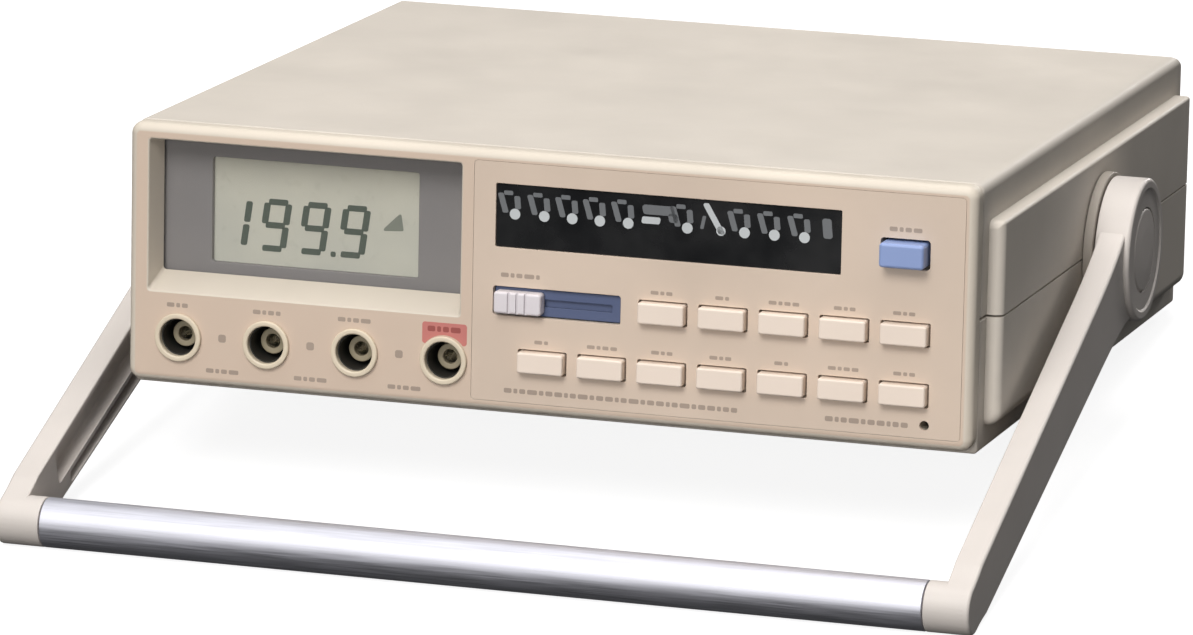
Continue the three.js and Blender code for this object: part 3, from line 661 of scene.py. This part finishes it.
# The pale ring round each socket's mouth, a painted highlight for the lit inner wall.
define("jack_sleeve", "#a3987f", dirt=0.2)
for name, tint, rough, grain in (
    ("print_ink", "#ad9c8e", 0.6, 0.1),
    ("print_red", "#cf8078", 0.55, 0.1),
    ("print_dark_red", "#a4554f", 0.55, 0.1),
    ("print_white", "#c9ced0", 0.5, 0.05),
    ("print_grey", "#707376", 0.5, 0.05),
    ("lcd_segment", "#4e5b50", 0.5, 0.05),
    ("lcd_faint_segment", "#868c80", 0.5, 0.05),
    ("rating_plate", "#a8a9aa", 0.35, 0.1),
):
    define(name, tint, rough=rough, grain=grain, dirt=0)

# ---- showing a piece


def smoothed(piece):
    """Smooth shading with the sharp edges kept and flat faces left flat."""
    piece.data.shade_smooth()
    piece.data.set_sharp_from_angle(angle=SHARP_ANGLE)
    modifier = piece.modifiers.new("flat_faces", "WEIGHTED_NORMAL")
    modifier.keep_sharp = True
    modifier.weight = 90


def show(name, solid, slot, body="case", place=LEVEL, finish=None):
    """Puts a solid in the row frame as a finished piece that rides on a body."""
    solid.transform(place)
    piece = as_object(solid, name)
    piece.data.materials.append(FINISH[finish or slot])
    smoothed(piece)
    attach(piece, body)
    return piece


def stand_in(node, solid, slot, **how):
    """A piece that stands for the CAD node it is named after."""
    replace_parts(show(f"{node}_looks", solid, slot, **how), node)


def stand_in_pair(node, solid, slot, **how):
    """The same on the right, and its mirror image on the left."""
    other = mirrored(solid)
    stand_in(f"{node}_right", solid, slot, **how)
    stand_in(f"{node}_left", other, slot, **how)


def carry_over(slot, *nodes):
    """A CAD node whose own shape is right gets the slot's finish."""
    for node in nodes:
        slots = frame["nodes"][node].data.materials
        slots.clear()
        slots.append(FINISH[slot])


# ---- covers


def pads():
    """The raised panels on both sides, before the case's split cuts them."""
    outline = [
        (PAD_ROOT, PAD_LOW, 0),
        (PAD_HALF, PAD_LOW, PAD_LOWER_CORNER),
        (PAD_HALF, PAD_HIGH, PAD_UPPER_CORNER),
        (PAD_ROOT, PAD_HIGH, 0),
    ]
    right = prism(outline, "y", PAD_FRONT, PAD_REAR, PAD_BEVEL, steps=5)
    return right, mirrored(right)


def rear_corner_tool():
    """Takes the case's top rear edge off along an arc."""
    radius = CASE_REAR_CORNER
    y, z = CASE_REAR - radius, CASE_TOP - radius
    steps = 14
    outline = [(CASE_REAR + 2, z, 0)]
    outline += [circle(radius, math.pi / 2 * i / steps, y, z) for i in range(steps + 1)]
    outline += [(y, CASE_TOP + 2, 0), (CASE_REAR + 2, CASE_TOP + 2, 0)]
    return prism(outline, "x", -CASE_HALF - 10, CASE_HALF + 10)


def half_space(low, high):
    """A block over the whole case between two heights."""
    return prism(rect(-PAD_HALF - 5, PAD_HALF + 5, -5, CASE_REAR + 5), "z", low, high)


def cover(lip, far, inner_far, corner):
    """Half of the case, with a wall down each side of a wide flat, and both side panels."""
    inside = CASE_HALF - CASE_WALL
    outline = [
        (-CASE_HALF, lip, COVER_LIP),
        (-CASE_HALF, far, corner),
        (CASE_HALF, far, corner),
        (CASE_HALF, lip, COVER_LIP),
        (inside, lip, COVER_LIP),
        (inside, inner_far, COVER_INNER_CORNER),
        (-inside, inner_far, COVER_INNER_CORNER),
        (-inside, lip, COVER_LIP),
    ]
    return fused(prism(outline, "y", CASE_FRONT, CASE_REAR, COVER_BEVEL), *pads())


def covers():
    top = cover(SPLIT_HIGH, CASE_TOP, CASE_TOP - CASE_WALL, CASE_CORNER)
    below = half_space(CASE_UNDER - 5, SPLIT_HIGH)
    stand_in("top_cover", carved(top, below, rear_corner_tool()), "case_plastic")

    bottom = cover(SPLIT_LOW, CASE_UNDER, CASE_UNDER + CASE_WALL, CASE_LOWER_CORNER)
    above = half_space(SPLIT_LOW, CASE_TOP + 5)
    recesses = [
        prism(disc(SCREW_RECESS, *at), "z", CASE_UNDER - 2, CASE_UNDER + SCREW_RECESS_DEPTH)
        for at in SCREW_PLACES
    ]
    stand_in("bottom_cover", carved(bottom, above, *recesses), "case_plastic")


def case_screw(at):
    """A pan head with a cross in it, seen from below."""
    head = CASE_UNDER + 0.1
    top = head + SCREW_HEAD_HEIGHT
    profile = [(0, head, 0), (SCREW_HEAD, head, 0.6), (SCREW_HEAD, top, 0), (0, top, 0)]
    cross = [
        prism(rect(*around(*at, *halves), 0.2), "z", head - 1, head + CROSS_DEPTH)
        for halves in ((CROSS_LENGTH, CROSS_WIDTH), (CROSS_WIDTH, CROSS_LENGTH))
    ]
    return carved(turned(profile, "z", at), *cross)


def foot(node):
    """A rubber foot with a hollow in its underside."""
    x0, x1, y0, y1, z0, _ = level_box(node)
    radius = (x1 - x0) / 2
    profile = [
        (0, z0 + FOOT_HOLLOW_DEPTH, 0),
        (FOOT_HOLLOW, z0 + FOOT_HOLLOW_DEPTH, 0.3),
        (FOOT_HOLLOW + 0.4, z0, 0.4),
        (radius, z0, 0.9),
        (radius, z0 + FOOT_HEIGHT, 0.3),
        (0, z0 + FOOT_HEIGHT, 0),
    ]
    return turned(profile, "z", middle_of((x0, x1, y0, y1)))


def underside():
    for i, at in enumerate(SCREW_PLACES, 1):
        stand_in(f"case_screw_{i}", case_screw(at), "steel")
    for node in FOOT_NODES:
        stand_in(node, foot(node), "foot_rubber")


# ---- front


def key_face(i):
    """The part of a key that shows: its box without the flange behind the panel."""
    return grown(face_of(f"key_{i}"), -KEY_FLANGE)


def collar_middle(i):
    return middle_of(face_of(f"jack_collar_{i}"))


def openings():
    """The outline of each hole through the right-hand part of the panel."""
    holes = [rect(*grown(key_face(i), KEY_GAP), KEY_HOLE_CORNER) for i in KEYS]
    holes.append(rect(*grown(face_of("power_button"), POWER_GAP), POWER_CORNER))
    holes.append(rect(*grown(face_of("slide_switch"), -SLOT_LIP), SLOT_CORNER))
    return holes


def display_recess():
    """The tool for the display's recess, from its rolled front edge to its back."""
    rings = (
        (MOUTH, 0.45, -1),
        (MOUTH, 0.45, 0),
        (MOUTH, 0.13, 0.13),
        (MOUTH, -0.07, 0.5),
        (RECESS_BACK, 0, RECESS_DEPTH + 0.05),
    )
    return loft(
        [
            [lifted(p, "y", y) for p in points_of(rect(*grown(box, margin), RECESS_CORNER))]
            for box, margin, y in rings
        ]
    )


def front_bezel():
    face = (-CASE_HALF, CASE_HALF, 0, CASE_TOP)
    plate = slab(face, BEZEL_CORNER, 0, BEZEL_DEPTH, BEZEL_BEVEL, BEZEL_REAR_BEVEL, steps=6)
    tunnel = slab(TUNNEL, 0.5, TUNNEL_FRONT, TUNNEL_REAR)
    lens_seat = grown(face_of("display_lens"), FIT)
    overlay_seat = rect(*grown(face_of("front_overlay"), OVERLAY_GAP), OVERLAY_SEAT_CORNER)
    legend_seat = rect(*grown(face_of("legend_window"), FIT), SEAT_CORNER)
    collars = [disc(COLLAR_HOLE, *collar_middle(i)) for i in JACKS]
    return carved(
        fused(plate, tunnel),
        display_recess(),
        slab(lens_seat, SEAT_CORNER, RECESS_DEPTH, LENS_SEAT_REAR),
        cutter(overlay_seat, 0, depths_of("front_overlay")[1] + FIT, 0.04),
        cutter(legend_seat, UNDER_OVERLAY, depths_of("legend_window")[1] + FIT, 0),
        *[cutter(collar, 0, PLATE_BACK) for collar in collars],
        *[cutter(hole, UNDER_OVERLAY, PLATE_BACK, 0) for hole in openings()],
        cutter(disc(*TRIMMER), UNDER_OVERLAY, PLATE_BACK, 0),
    )


def pane(node, corner, bevel=0.0):
    """A flat plate with the outline and the depth of a CAD node."""
    return slab(face_of(node), corner, *depths_of(node), bevel)


def front_overlay():
    y0, y1 = depths_of("front_overlay")
    plate = slab(face_of("front_overlay"), OVERLAY_CORNER, y0, y1, OVERLAY_BEVEL, 0)
    window = rect(*face_of("legend_window"), WINDOW_CORNER)
    return carved(
        plate,
        *[cutter(hole, y0, y1 + 2, 0.15) for hole in openings()],
        cutter(window, y0, y1 + 2, 0.2),
        cutter(disc(*TRIMMER), y0, y1 + 2, 0.1),
    )


def legend_and_display():
    stand_in("legend_window", pane("legend_window", WINDOW_CORNER, WINDOW_BEVEL), "legend_black")
    stand_in("display_lens", pane("display_lens", WINDOW_CORNER, WINDOW_BEVEL), "display_lens")

    y0, y1 = depths_of("display_mask")
    opening = cutter(rect(*DISPLAY_OPENING, 0.8), y0, y1 + 1, 0.4)
    stand_in("display_mask", carved(pane("display_mask", 0.3), opening), "display_mask")

    face = face_of("lcd_panel")
    y0, y1 = depths_of("lcd_panel")
    glass = slab(trimmed(face, 0, GLASS_INSET), 0.1, y0, y0 + GLASS_THICK, GLASS_BEVEL)
    rear = slab(face, 0.1, y0 + GLASS_THICK + 0.1, y1, GLASS_BEVEL)
    stand_in("lcd_panel", together([glass, rear]), "lcd_glass")


def bar(x, z, width, height, slant, y, proud=INK_PROUD):
    """One flat printed stroke, centred at (x, z), standing just proud of a face at y."""
    outline = rect(*around(0, 0, width / 2, height / 2), min(width, height) * 0.3)
    placed = [(x + a + slant * b, z + b, radius) for a, b, radius in outline]
    return prism(placed, "y", y - proud, y + INK_SUNK)


def dot(x, z, radius, y):
    return prism(disc(radius, x, z, DOT_ROUND), "y", y - INK_PROUD, y + INK_SUNK)


def seven_segments(digit):
    """(across, up, width, height) of each lit segment, from the digit's middle."""
    strokes = []
    for name in {"1": "bc", "9": "abcdfg"}[digit]:
        side, level = SEGMENTS[name]
        size = UPRIGHT_SEGMENT if side else LEVEL_SEGMENT
        strokes.append((side * DIGIT_HALF, level * DIGIT_RISE, *size))
    return strokes


def lcd_reading():
    """A slanted 199.9 and a small unit mark, in dark segments on the display's glass."""
    y = depths_of("lcd_panel")[0]
    solids = []
    for column, digit in enumerate("1999"):
        centre = FIRST_DIGIT + DIGIT_PITCH * column
        for dx, dz, width, height in seven_segments(digit):
            x = centre + dx + DIGIT_SLANT * dz
            solids.append(bar(x, DIGIT_MIDDLE + dz, width, height, DIGIT_SLANT, y))
    solids.append(bar(*DECIMAL_POINT, y))
    show("lcd_reading", together(solids), "lcd_glass", finish="lcd_segment")
    mark = prism(UNIT_MARK, "y", y - INK_PROUD, y + INK_SUNK)
    show("lcd_unit_mark", mark, "lcd_glass", finish="lcd_faint_segment")


def legend_marks():
    """A row of generic glyph-like marks, each with a bright dot at its foot."""
    y = depths_of("legend_window")[0]
    bright = [dot(x, *GLYPH_DOT, y) for x in GLYPHS]
    bright += [bar(*stroke, y) for stroke in BRIGHT_STROKES]
    bright.append(dot(*BRIGHT_DOT, y))
    faint = [bar(start + x, *rest, y) for start in GLYPHS for x, *rest in GLYPH_STROKES]
    faint += [bar(*stroke, y) for stroke in FAINT_STROKES]
    show("legend_marks_bright", together(bright), "legend_black", finish="print_white")
    show("legend_marks_faint", together(faint), "legend_black", finish="print_grey")


def label(x, z, width, y=0.0, height=1.2):
    """A generic label: a few short dashes that fill a width."""
    end = x + width / 2
    solids, start = [], x - width / 2
    while start < end - SHORTEST_DASH:
        length = min(DASHES[len(solids) % len(DASHES)], end - start)
        solids.append(bar(start + length / 2, z, length, height, 0, y, LABEL_PROUD))
        start += length + DASH_GAP
    return solids


def control_labels():
    """Labels over the keys, the button and the knob, and along the panel's foot."""
    solids = []
    for i in KEYS:
        face = key_face(i)
        solids += label(middle_of(face)[0], face[3] + 2.6, (6, 7, 4.5, 8.5)[i % 4], height=1.0)
    button, knob = face_of("power_button"), face_of("slide_knob")
    solids += label(middle_of(button)[0], button[3] + 3.2, 9)
    solids += label(middle_of(knob)[0], knob[3] + 4.2, 11)
    solids += label(22, 6.2, 66, height=1.3)
    solids += label(91, 6.2, 23, height=1.4)
    return solids


def jack_labels():
    """Labels over, between and under the jacks. The last jack's own is on its red patch."""
    solids = []
    for i, width, shift in ((1, 7, None), (2, 8, -12.5), (3, 10, -12.5), (4, None, -11)):
        centre = collar_middle(i)[0]
        if width:
            solids += label(centre, face_of(f"jack_collar_{i}")[3] + 2.2, width)
            solids += label(centre + 12.8, 13.6, 2.4, height=2.2)
        if shift:
            solids += label(centre + shift, 4.4, 10)
    return solids


def panel_print():
    ink = together(control_labels() + jack_labels())
    show("panel_print", ink, "panel_overlay", finish="print_ink")

    face = face_of("jack_collar_4")
    centre, top = middle_of(face)[0], face[3]
    box = (centre - 6.3, centre + 6.5, top - 2.4, top + 3.6)
    patch = slab(box, 0.8, -PATCH_PROUD, INK_SUNK)
    clear = prism(disc(COLLAR_RIM + 0.2, centre, top - COLLAR_RIM), "y", -1, 1)
    show("red_patch", carved(patch, clear), "panel_overlay", finish="print_red")
    words = together(label(centre, top + 1.8, 9.5, y=-LABEL_PROUD, height=1.5))
    show("red_patch_print", words, "panel_overlay", finish="print_dark_red")


def key(i):
    """A key's cap, its flange behind the panel and its stem."""
    face = key_face(i)
    y0, y1 = depths_of(f"key_{i}")
    cap = slab(face, KEY_CORNER, y0, KEY_BACK, KEY_BEVEL, 0, steps=4)
    flange = slab(grown(face, KEY_FLANGE), 0.4, *KEY_FLANGE_ENDS, 0.1)
    x0, x1, _, _ = around(*middle_of(face), KEY_STEM_HALF, 0)
    _, _, z0, z1 = grown(face, -KEY_STEM_INSET)
    stem = slab((x0, x1, z0, z1), 0.3, KEY_STEM_FRONT, y1)
    return fused(cap, flange, stem)


def keys():
    for i in KEYS:
        stand_in(f"key_{i}", key(i), "key_plastic", body=f"key_{i}_cap")

    face = face_of("power_button")
    y0, y1 = depths_of("power_button")
    cap = slab(face, POWER_CORNER, y0, POWER_BACK, POWER_BEVEL, 0, steps=4)
    stem = slab(trimmed(face, *POWER_STEM_INSETS), 0.3, POWER_STEM_FRONT, y1)
    stand_in("power_button", fused(cap, stem), "blue_plastic", body="power_button_cap")


def slide_switch():
    """The switch in its slot, with a groove, and the ribbed knob that runs along it."""
    face = face_of("slide_switch")
    x0, x1, _, _ = face
    middle = middle_of(face)[1]
    front = slab(grown(face, -SLOT_LIP - FIT), 0.5, SWITCH_FACE, 4, 0.3, 0)
    body = slab(face, 0.3, SWITCH_BODY, SWITCH_BACK, 0.2)
    groove = rect(x0 + 4.9, x1 - 4.7, middle - 1, middle + 1, 0.4)
    tool = cutter(groove, SWITCH_FACE, GROOVE_FLOOR)
    stand_in("slide_switch", carved(fused(front, body), tool), "dark_blue_plastic")

    face = face_of("slide_knob")
    _, _, z0, z1 = face
    centre = middle_of(face)[0]
    y0 = depths_of("slide_knob")[0]
    grip = slab(face, KNOB_CORNER, y0, KNOB_FOOT, KNOB_BEVEL, 0.1, steps=4)
    grooves = []
    for dx in GRIP_SHIFTS:
        box = (centre + dx - GRIP_HALF, centre + dx + GRIP_HALF, z0 - 1, z1 + 1)
        grooves.append(slab(box, 0.1, y0 - 1, y0 + GRIP_DEPTH))
    stem = slab(around(centre, middle, 2, 0.7), 0.2, KNOB_FOOT - 0.5, KNOB_STEM_END)
    knob = fused(carved(grip, *grooves), stem)
    stand_in("slide_knob", knob, "knob_plastic", body="range_knob")


def jack_collar(y0, y1, at):
    profile = [
        (COLLAR_BORE, y0, 0.5),
        (COLLAR_RIM, y0, 0.6),
        (COLLAR_RIM, COLLAR_RIM_BACK, 0.1),
        (COLLAR_BODY, COLLAR_RIM_BACK, 0),
        (COLLAR_BODY, y1, 0.3),
        (COLLAR_THROAT, y1, 0.3),
        (COLLAR_THROAT, y1 - COLLAR_FLOOR_DEPTH, 0.2),
        (COLLAR_BORE, y1 - COLLAR_FLOOR_DEPTH, 0.2),
    ]
    return ring(profile, "y", at)


def jack_socket(y0, y1, at):
    profile = [
        (0, SOCKET_BORE_END, 0),
        (SOCKET_BORE, SOCKET_BORE_END, 0.2),
        (SOCKET_BORE, y0 + 0.5, 0.1),
        (SOCKET_BORE + 0.5, y0, 0.3),
        (SOCKET_RADIUS, y0, 0.4),
        (SOCKET_RADIUS, SOCKET_END, 0.2),
        (SOCKET_TAIL, SOCKET_END, 0.1),
        (SOCKET_TAIL, y1, 0.2),
        (0, y1, 0),
    ]
    return turned(profile, "y", at, SMALL_ROUND)


def jacks():
    """Collars and sockets. A dark tube that only the looks have covers each collar's bore, painted
    shade for the shadowed inside; a pale ring that only the looks have sits round each socket's
    mouth, a painted highlight for the lit inner wall.
    """
    for i in JACKS:
        at = collar_middle(i)
        collar = jack_collar(*depths_of(f"jack_collar_{i}"), at)
        stand_in(f"jack_collar_{i}", collar, "jack_plastic")
        socket = jack_socket(*depths_of(f"jack_socket_{i}"), at)
        stand_in(f"jack_socket_{i}", socket, "nickel")
        # Painted shade: a dark tube on the collar's bore wall.
        shade_lining = pipe(SHADE_LINING_RADII, SHADE_LINING_ENDS, (0.2, 0.1, 0.1, 0.1), "y", at)
        show(f"jack_shade_lining_{i}", shade_lining, "dark_plastic")
        # Painted highlight: a pale ring round the socket's mouth.
        lit_sleeve = pipe(LIT_SLEEVE_RADII, LIT_SLEEVE_ENDS, (0.3, 0.4, 0.1, 0.1), "y", at, SMALL_ROUND)
        show(f"jack_sleeve_{i}", lit_sleeve, "jack_plastic", finish="jack_sleeve")


# ---- rear


def rear_panel():
    hole = rect(*trimmed(face_of("power_inlet"), *INLET_HOLE_INSETS), 1)
    bore = disc(FUSE_HOLE, *middle_of(face_of("fuse_holder")))
    tools = [prism(outline, "y", CUT_FRONT, CUT_REAR) for outline in (hole, bore)]
    stand_in("rear_panel", carved(pane("rear_panel", 0.6, 0.2), *tools), "rear_aluminium")


def power_inlet():
    """A three-pin appliance inlet in a plastic flange."""
    face = face_of("power_inlet")
    y0, y1 = depths_of("power_inlet")
    centre, middle = middle_of(face)
    flange_front = y1 - INLET_FLANGE
    flange = slab(face, 2.2, flange_front, y1, 0, 0.7)
    body = slab(trimmed(face, *INLET_BODY_INSETS), 1, y0, flange_front + 1, 0.3)
    well_outline = rect(*around(centre, middle, WELL_HALF, WELL_HALF_HEIGHT), 2.5, 1)
    well = prism(well_outline, "y", y1 - WELL_DEPTH, y1 + 10)
    stand_in("power_inlet", carved(fused(flange, body), well), "black_plastic")

    pins = []
    for dx, dz in PIN_PLACES:
        box = around(centre + dx, middle + dz, PIN_HALF, PIN_HALF_HEIGHT)
        pins.append(slab(box, 0.3, y1 - WELL_DEPTH - 0.5, y1 - PIN_TIP, 0, 0.5))
    show("power_inlet_pins", together(pins), "nickel")


def fuse_holder():
    """A holder with a ribbed cap and a slot for a coin."""
    at = middle_of(face_of("fuse_holder"))
    y0, y1 = depths_of("fuse_holder")
    profile = [
        (0, y0, 0),
        (6, y0, 0.4),
        (6, y1 - 4, 0),
        (8.5, y1 - 4, 0.2),
        (8.5, y1 - 2.6, 0.5),
        (6.5, y1 - 2.4, 0.2),
        (6.2, y1, 0.8),
        (0, y1, 0),
    ]
    slot = slab(around(*at, *FUSE_SLOT), 0.2, y1 - FUSE_SLOT_DEPTH, y1 + 1)
    ribs = []
    for i in range(FUSE_RIBS):
        a, b, _ = circle(FUSE_RIB_CIRCLE, math.tau * i / FUSE_RIBS, *at)
        ribs.append(prism(disc(FUSE_RIB, a, b, 8), "y", y1 - FUSE_RIB_LENGTH, y1 + 1))
    stand_in("fuse_holder", carved(turned(profile, "y", at), slot, *ribs), "black_plastic")


def rating_plate():
    """A plain plate on the rear panel, with ruled lines in place of any wording."""
    y = depths_of("rear_panel")[1]
    plate = slab(RATING_PLATE, 1.5, y - 0.05, y + 0.2, 0, 0.1)
    show("rating_plate", plate, "rear_aluminium", finish="rating_plate")
    lines = []
    for z, width in RATING_LINES:
        box = (RATING_LINE_END - width, RATING_LINE_END, z, z + RATING_LINE_HEIGHT)
        lines.append(slab(box, 0.3, y + 0.1, y + 0.24))
    show("rating_plate_lines", together(lines), "rear_aluminium", finish="print_ink")


# ---- handle


def arm_half_width(distance):
    return ARM_HALF_WIDTH - ARM_TAPER * distance


def bend(start, control, end, steps=10):
    """Points along a quadratic curve, without its start."""
    start, control, end = Vector(start), Vector(control), Vector(end)
    points = []
    for i in range(1, steps + 1):
        t = i / steps
        points.append(start * (1 - t) ** 2 + control * 2 * t * (1 - t) + end * t * t)
    return points


def arm_outline():
    """The arm from the side: a hub at the origin, tapering to the tube."""
    neck = Vector(circle(HUB_RADIUS, math.pi - NECK_TURN)[:2])
    waist = (-WAIST, arm_half_width(WAIST))
    shoulder = (-SHOULDER, arm_half_width(SHOULDER))
    upper = [neck, *bend(neck, (-NECK_BEND, arm_half_width(NECK_BEND)), waist), Vector(shoulder)]
    upper += bend(shoulder, (-SHOULDER_BEND, TUBE_RADIUS), (-REACH, TUBE_RADIUS), 5)
    tip_steps, hub_steps = 16, 36
    sweep = 2 * (math.pi - NECK_TURN)
    tip = [math.pi / 2 + math.pi * i / tip_steps for i in range(1, tip_steps)]
    hub = [math.pi + NECK_TURN + sweep * i / hub_steps for i in range(1, hub_steps)]
    outline = [(p.x, p.y, 0) for p in upper]
    outline += [circle(TUBE_RADIUS, turn, -REACH) for turn in tip]
    outline += [(p.x, -p.y, 0) for p in reversed(upper)]
    outline += [circle(HUB_RADIUS, turn) for turn in hub]
    return outline


def pocket(far, heights, depth):
    """A tool for a pocket in the arm's inner side, between two heights given along the arm."""
    (near_low, near_high), (far_low, far_high) = heights(POCKET_START), heights(far)
    outline = [
        (-POCKET_START, near_high, POCKET_CORNER),
        (-far, far_high, POCKET_CORNER),
        (-far, far_low, POCKET_CORNER),
        (-POCKET_START, near_low, POCKET_CORNER),
    ]
    return prism(outline, "x", ARM_INNER - 1, ARM_INNER + depth, 0, 0.6)


def handle_arm():
    """The right-hand arm with its hub and tube socket."""
    arm = prism(arm_outline(), "x", ARM_INNER, ARM_OUTER, 0.5, 0.9)
    dish = HUB_OUTER - 0.5
    hub_profile = [
        (0, HUB_INNER, 0),
        (HUB_RADIUS, HUB_INNER, 0.4),
        (HUB_RADIUS, HUB_OUTER, 1.1),
        (HUB_RADIUS - 2.6, HUB_OUTER, 0.3),
        (HUB_RADIUS - 3.2, dish, 0.3),
        (0, dish, 0),
    ]
    hub = turned(hub_profile, "x", segments=HUB_ROUND)
    corner_profile = [
        (0, TUBE_END - SPIGOT_LENGTH, 0),
        (SPIGOT, TUBE_END - SPIGOT_LENGTH, 0.8),
        (SPIGOT, TUBE_END + FIT, 0),
        (TUBE_RADIUS, TUBE_END + FIT, 0.3),
        (TUBE_RADIUS, ARM_OUTER, 2.4),
        (0, ARM_OUTER, 0),
    ]
    corner = turned(corner_profile, "x", (-REACH, 0))
    upper = pocket(158, lambda along: (-3, arm_half_width(along) - 1.6), 4.2)
    lower = pocket(150, lambda along: (0.9 - arm_half_width(along), -4.2), 5)
    cup = prism(disc(HUB_CUP, 0, 0, LARGE_ROUND), "x", HUB_INNER - 1, HUB_CUP_FLOOR)
    seat = prism(disc(HUB_CAP, 0, 0, LARGE_ROUND), "x", HUB_CAP_FLOOR, HUB_OUTER + 1)
    return carved(fused(arm, hub, corner), upper, lower, cup, seat)


def handle():
    plastic = {"slot": "handle_plastic", "body": "handle", "place": HANDLE}
    stand_in_pair("handle_arm", handle_arm(), **plastic)
    radii, ends, rims = (TUBE_BORE, TUBE_RADIUS), (-TUBE_END, TUBE_END), (0.1, 0.3, 0.3, 0.1)
    tube = pipe(radii, ends, rims, "x", (-REACH, 0), LARGE_ROUND)
    stand_in("handle_tube", tube, "brushed_tube", body="handle", place=HANDLE)
    cap = [
        (0, CAP_BACK, 0),
        (HUB_CAP - FIT, CAP_BACK, 0.2),
        (HUB_CAP - FIT, HUB_OUTER - 0.4, 0.8),
        (6, HUB_OUTER - 0.05, 4),
        (0, HUB_OUTER, 0),
    ]
    stand_in_pair("hub_cap", turned(cap, "x", segments=LARGE_ROUND), **plastic)


def pivot_stubs():
    """A flange on each side of the case with a ratchet wheel, inside the hub's cup."""
    _, y, z = PIVOT
    x0, x1 = face_of("pivot_stub_right")[:2]
    wheel = []
    for i in range(WHEEL_TEETH):
        turn = math.tau * i / WHEEL_TEETH
        wheel += [circle(radius, turn + shift, y, z) for radius, shift in TOOTH]
    flange = prism(disc(STUB_FLANGE, y, z, LARGE_ROUND), "x", x0, HUB_INNER - FIT, 0, 0.5)
    bore = prism(disc(STUB_BORE, y, z), "x", 100, 150)
    stub = carved(fused(flange, prism(wheel, "x", HUB_INNER - WHEEL_ROOT, x1)), bore)
    stand_in_pair("pivot_stub", stub, "dark_plastic", finish="pivot_plastic")


# ---- stage and camera


def floor():
    surface = bmesh.new()
    bmesh.ops.create_grid(surface, x_segments=8, y_segments=8, size=FLOOR_SIZE)
    plane = as_object(surface, "floor")
    tree = Tree("floor")
    tree.look({"Base Color": FLOOR_TINT, "Roughness": 0.9})
    tree.look({"Emission Color": (1, 1, 1, 1), "Emission Strength": FLOOR_GLOW})
    plane.data.materials.append(tree.material)
    plane.visible_diffuse = False
    plane.visible_glossy = False


def lamp(name, place, size, power):
    """A round soft light that looks at the origin."""
    light = bpy.data.lights.new(name, "AREA")
    light.shape = "DISK"
    light.size = size
    light.energy = power
    light.color = LAMP_TINT
    holder = in_scene(name, light)
    holder.location = place
    holder.rotation_euler = (-Vector(place)).to_track_quat("-Z", "Y").to_euler()


def sky():
    """A studio's soft surroundings: bright overhead, dim below the horizon."""
    world = bpy.data.worlds.new("studio")
    bpy.context.scene.world = world
    world.use_nodes = True
    nodes = world.node_tree.nodes
    direction = nodes.new("ShaderNodeTexCoord").outputs["Generated"]
    split = feed(nodes.new("ShaderNodeSeparateXYZ"), {"Vector": direction})
    ends = {"Value": split.outputs["Z"], "To Min": SKY_DIM, "To Max": SKY_BRIGHT}
    ramp = feed(nodes.new("ShaderNodeMapRange"), ends)
    feed(nodes["Background"], {"Color": SKY_TINT, "Strength": ramp.outputs["Result"]})


def lights():
    for name, place, size, power in LAMPS:
        lamp(name, place, size, power)
    sky()
    bpy.context.scene.view_settings.view_transform = "Standard"


def camera():
    data = bpy.data.cameras.new("camera")
    data.lens = CAMERA_LENS
    data.clip_end = CAMERA_REACH
    holder = in_scene("camera", data)
    holder.location = CAMERA_PLACE
    holder.rotation_euler = [math.radians(turn) for turn in CAMERA_TURN]
    bpy.context.scene.camera = holder


# ---- everything

covers()
underside()
stand_in("front_bezel", front_bezel(), "bezel_plastic")
stand_in("front_overlay", front_overlay(), "panel_overlay")
legend_and_display()
lcd_reading()
legend_marks()
panel_print()
keys()
slide_switch()
jacks()
rear_panel()
power_inlet()
fuse_holder()
rating_plate()
handle()
pivot_stubs()

carry_over("grey_silicone", "key_mat", "ribbon_cable", "lcd_connector_top", "lcd_connector_bottom")
carry_over("dark_plastic", "power_switch")
carry_over("circuit_board", "front_board", "main_board")
carry_over("transformer", "mains_transformer")
carry_over("steel", "pivot_screw_right", "pivot_screw_left")

floor()
lights()
camera()
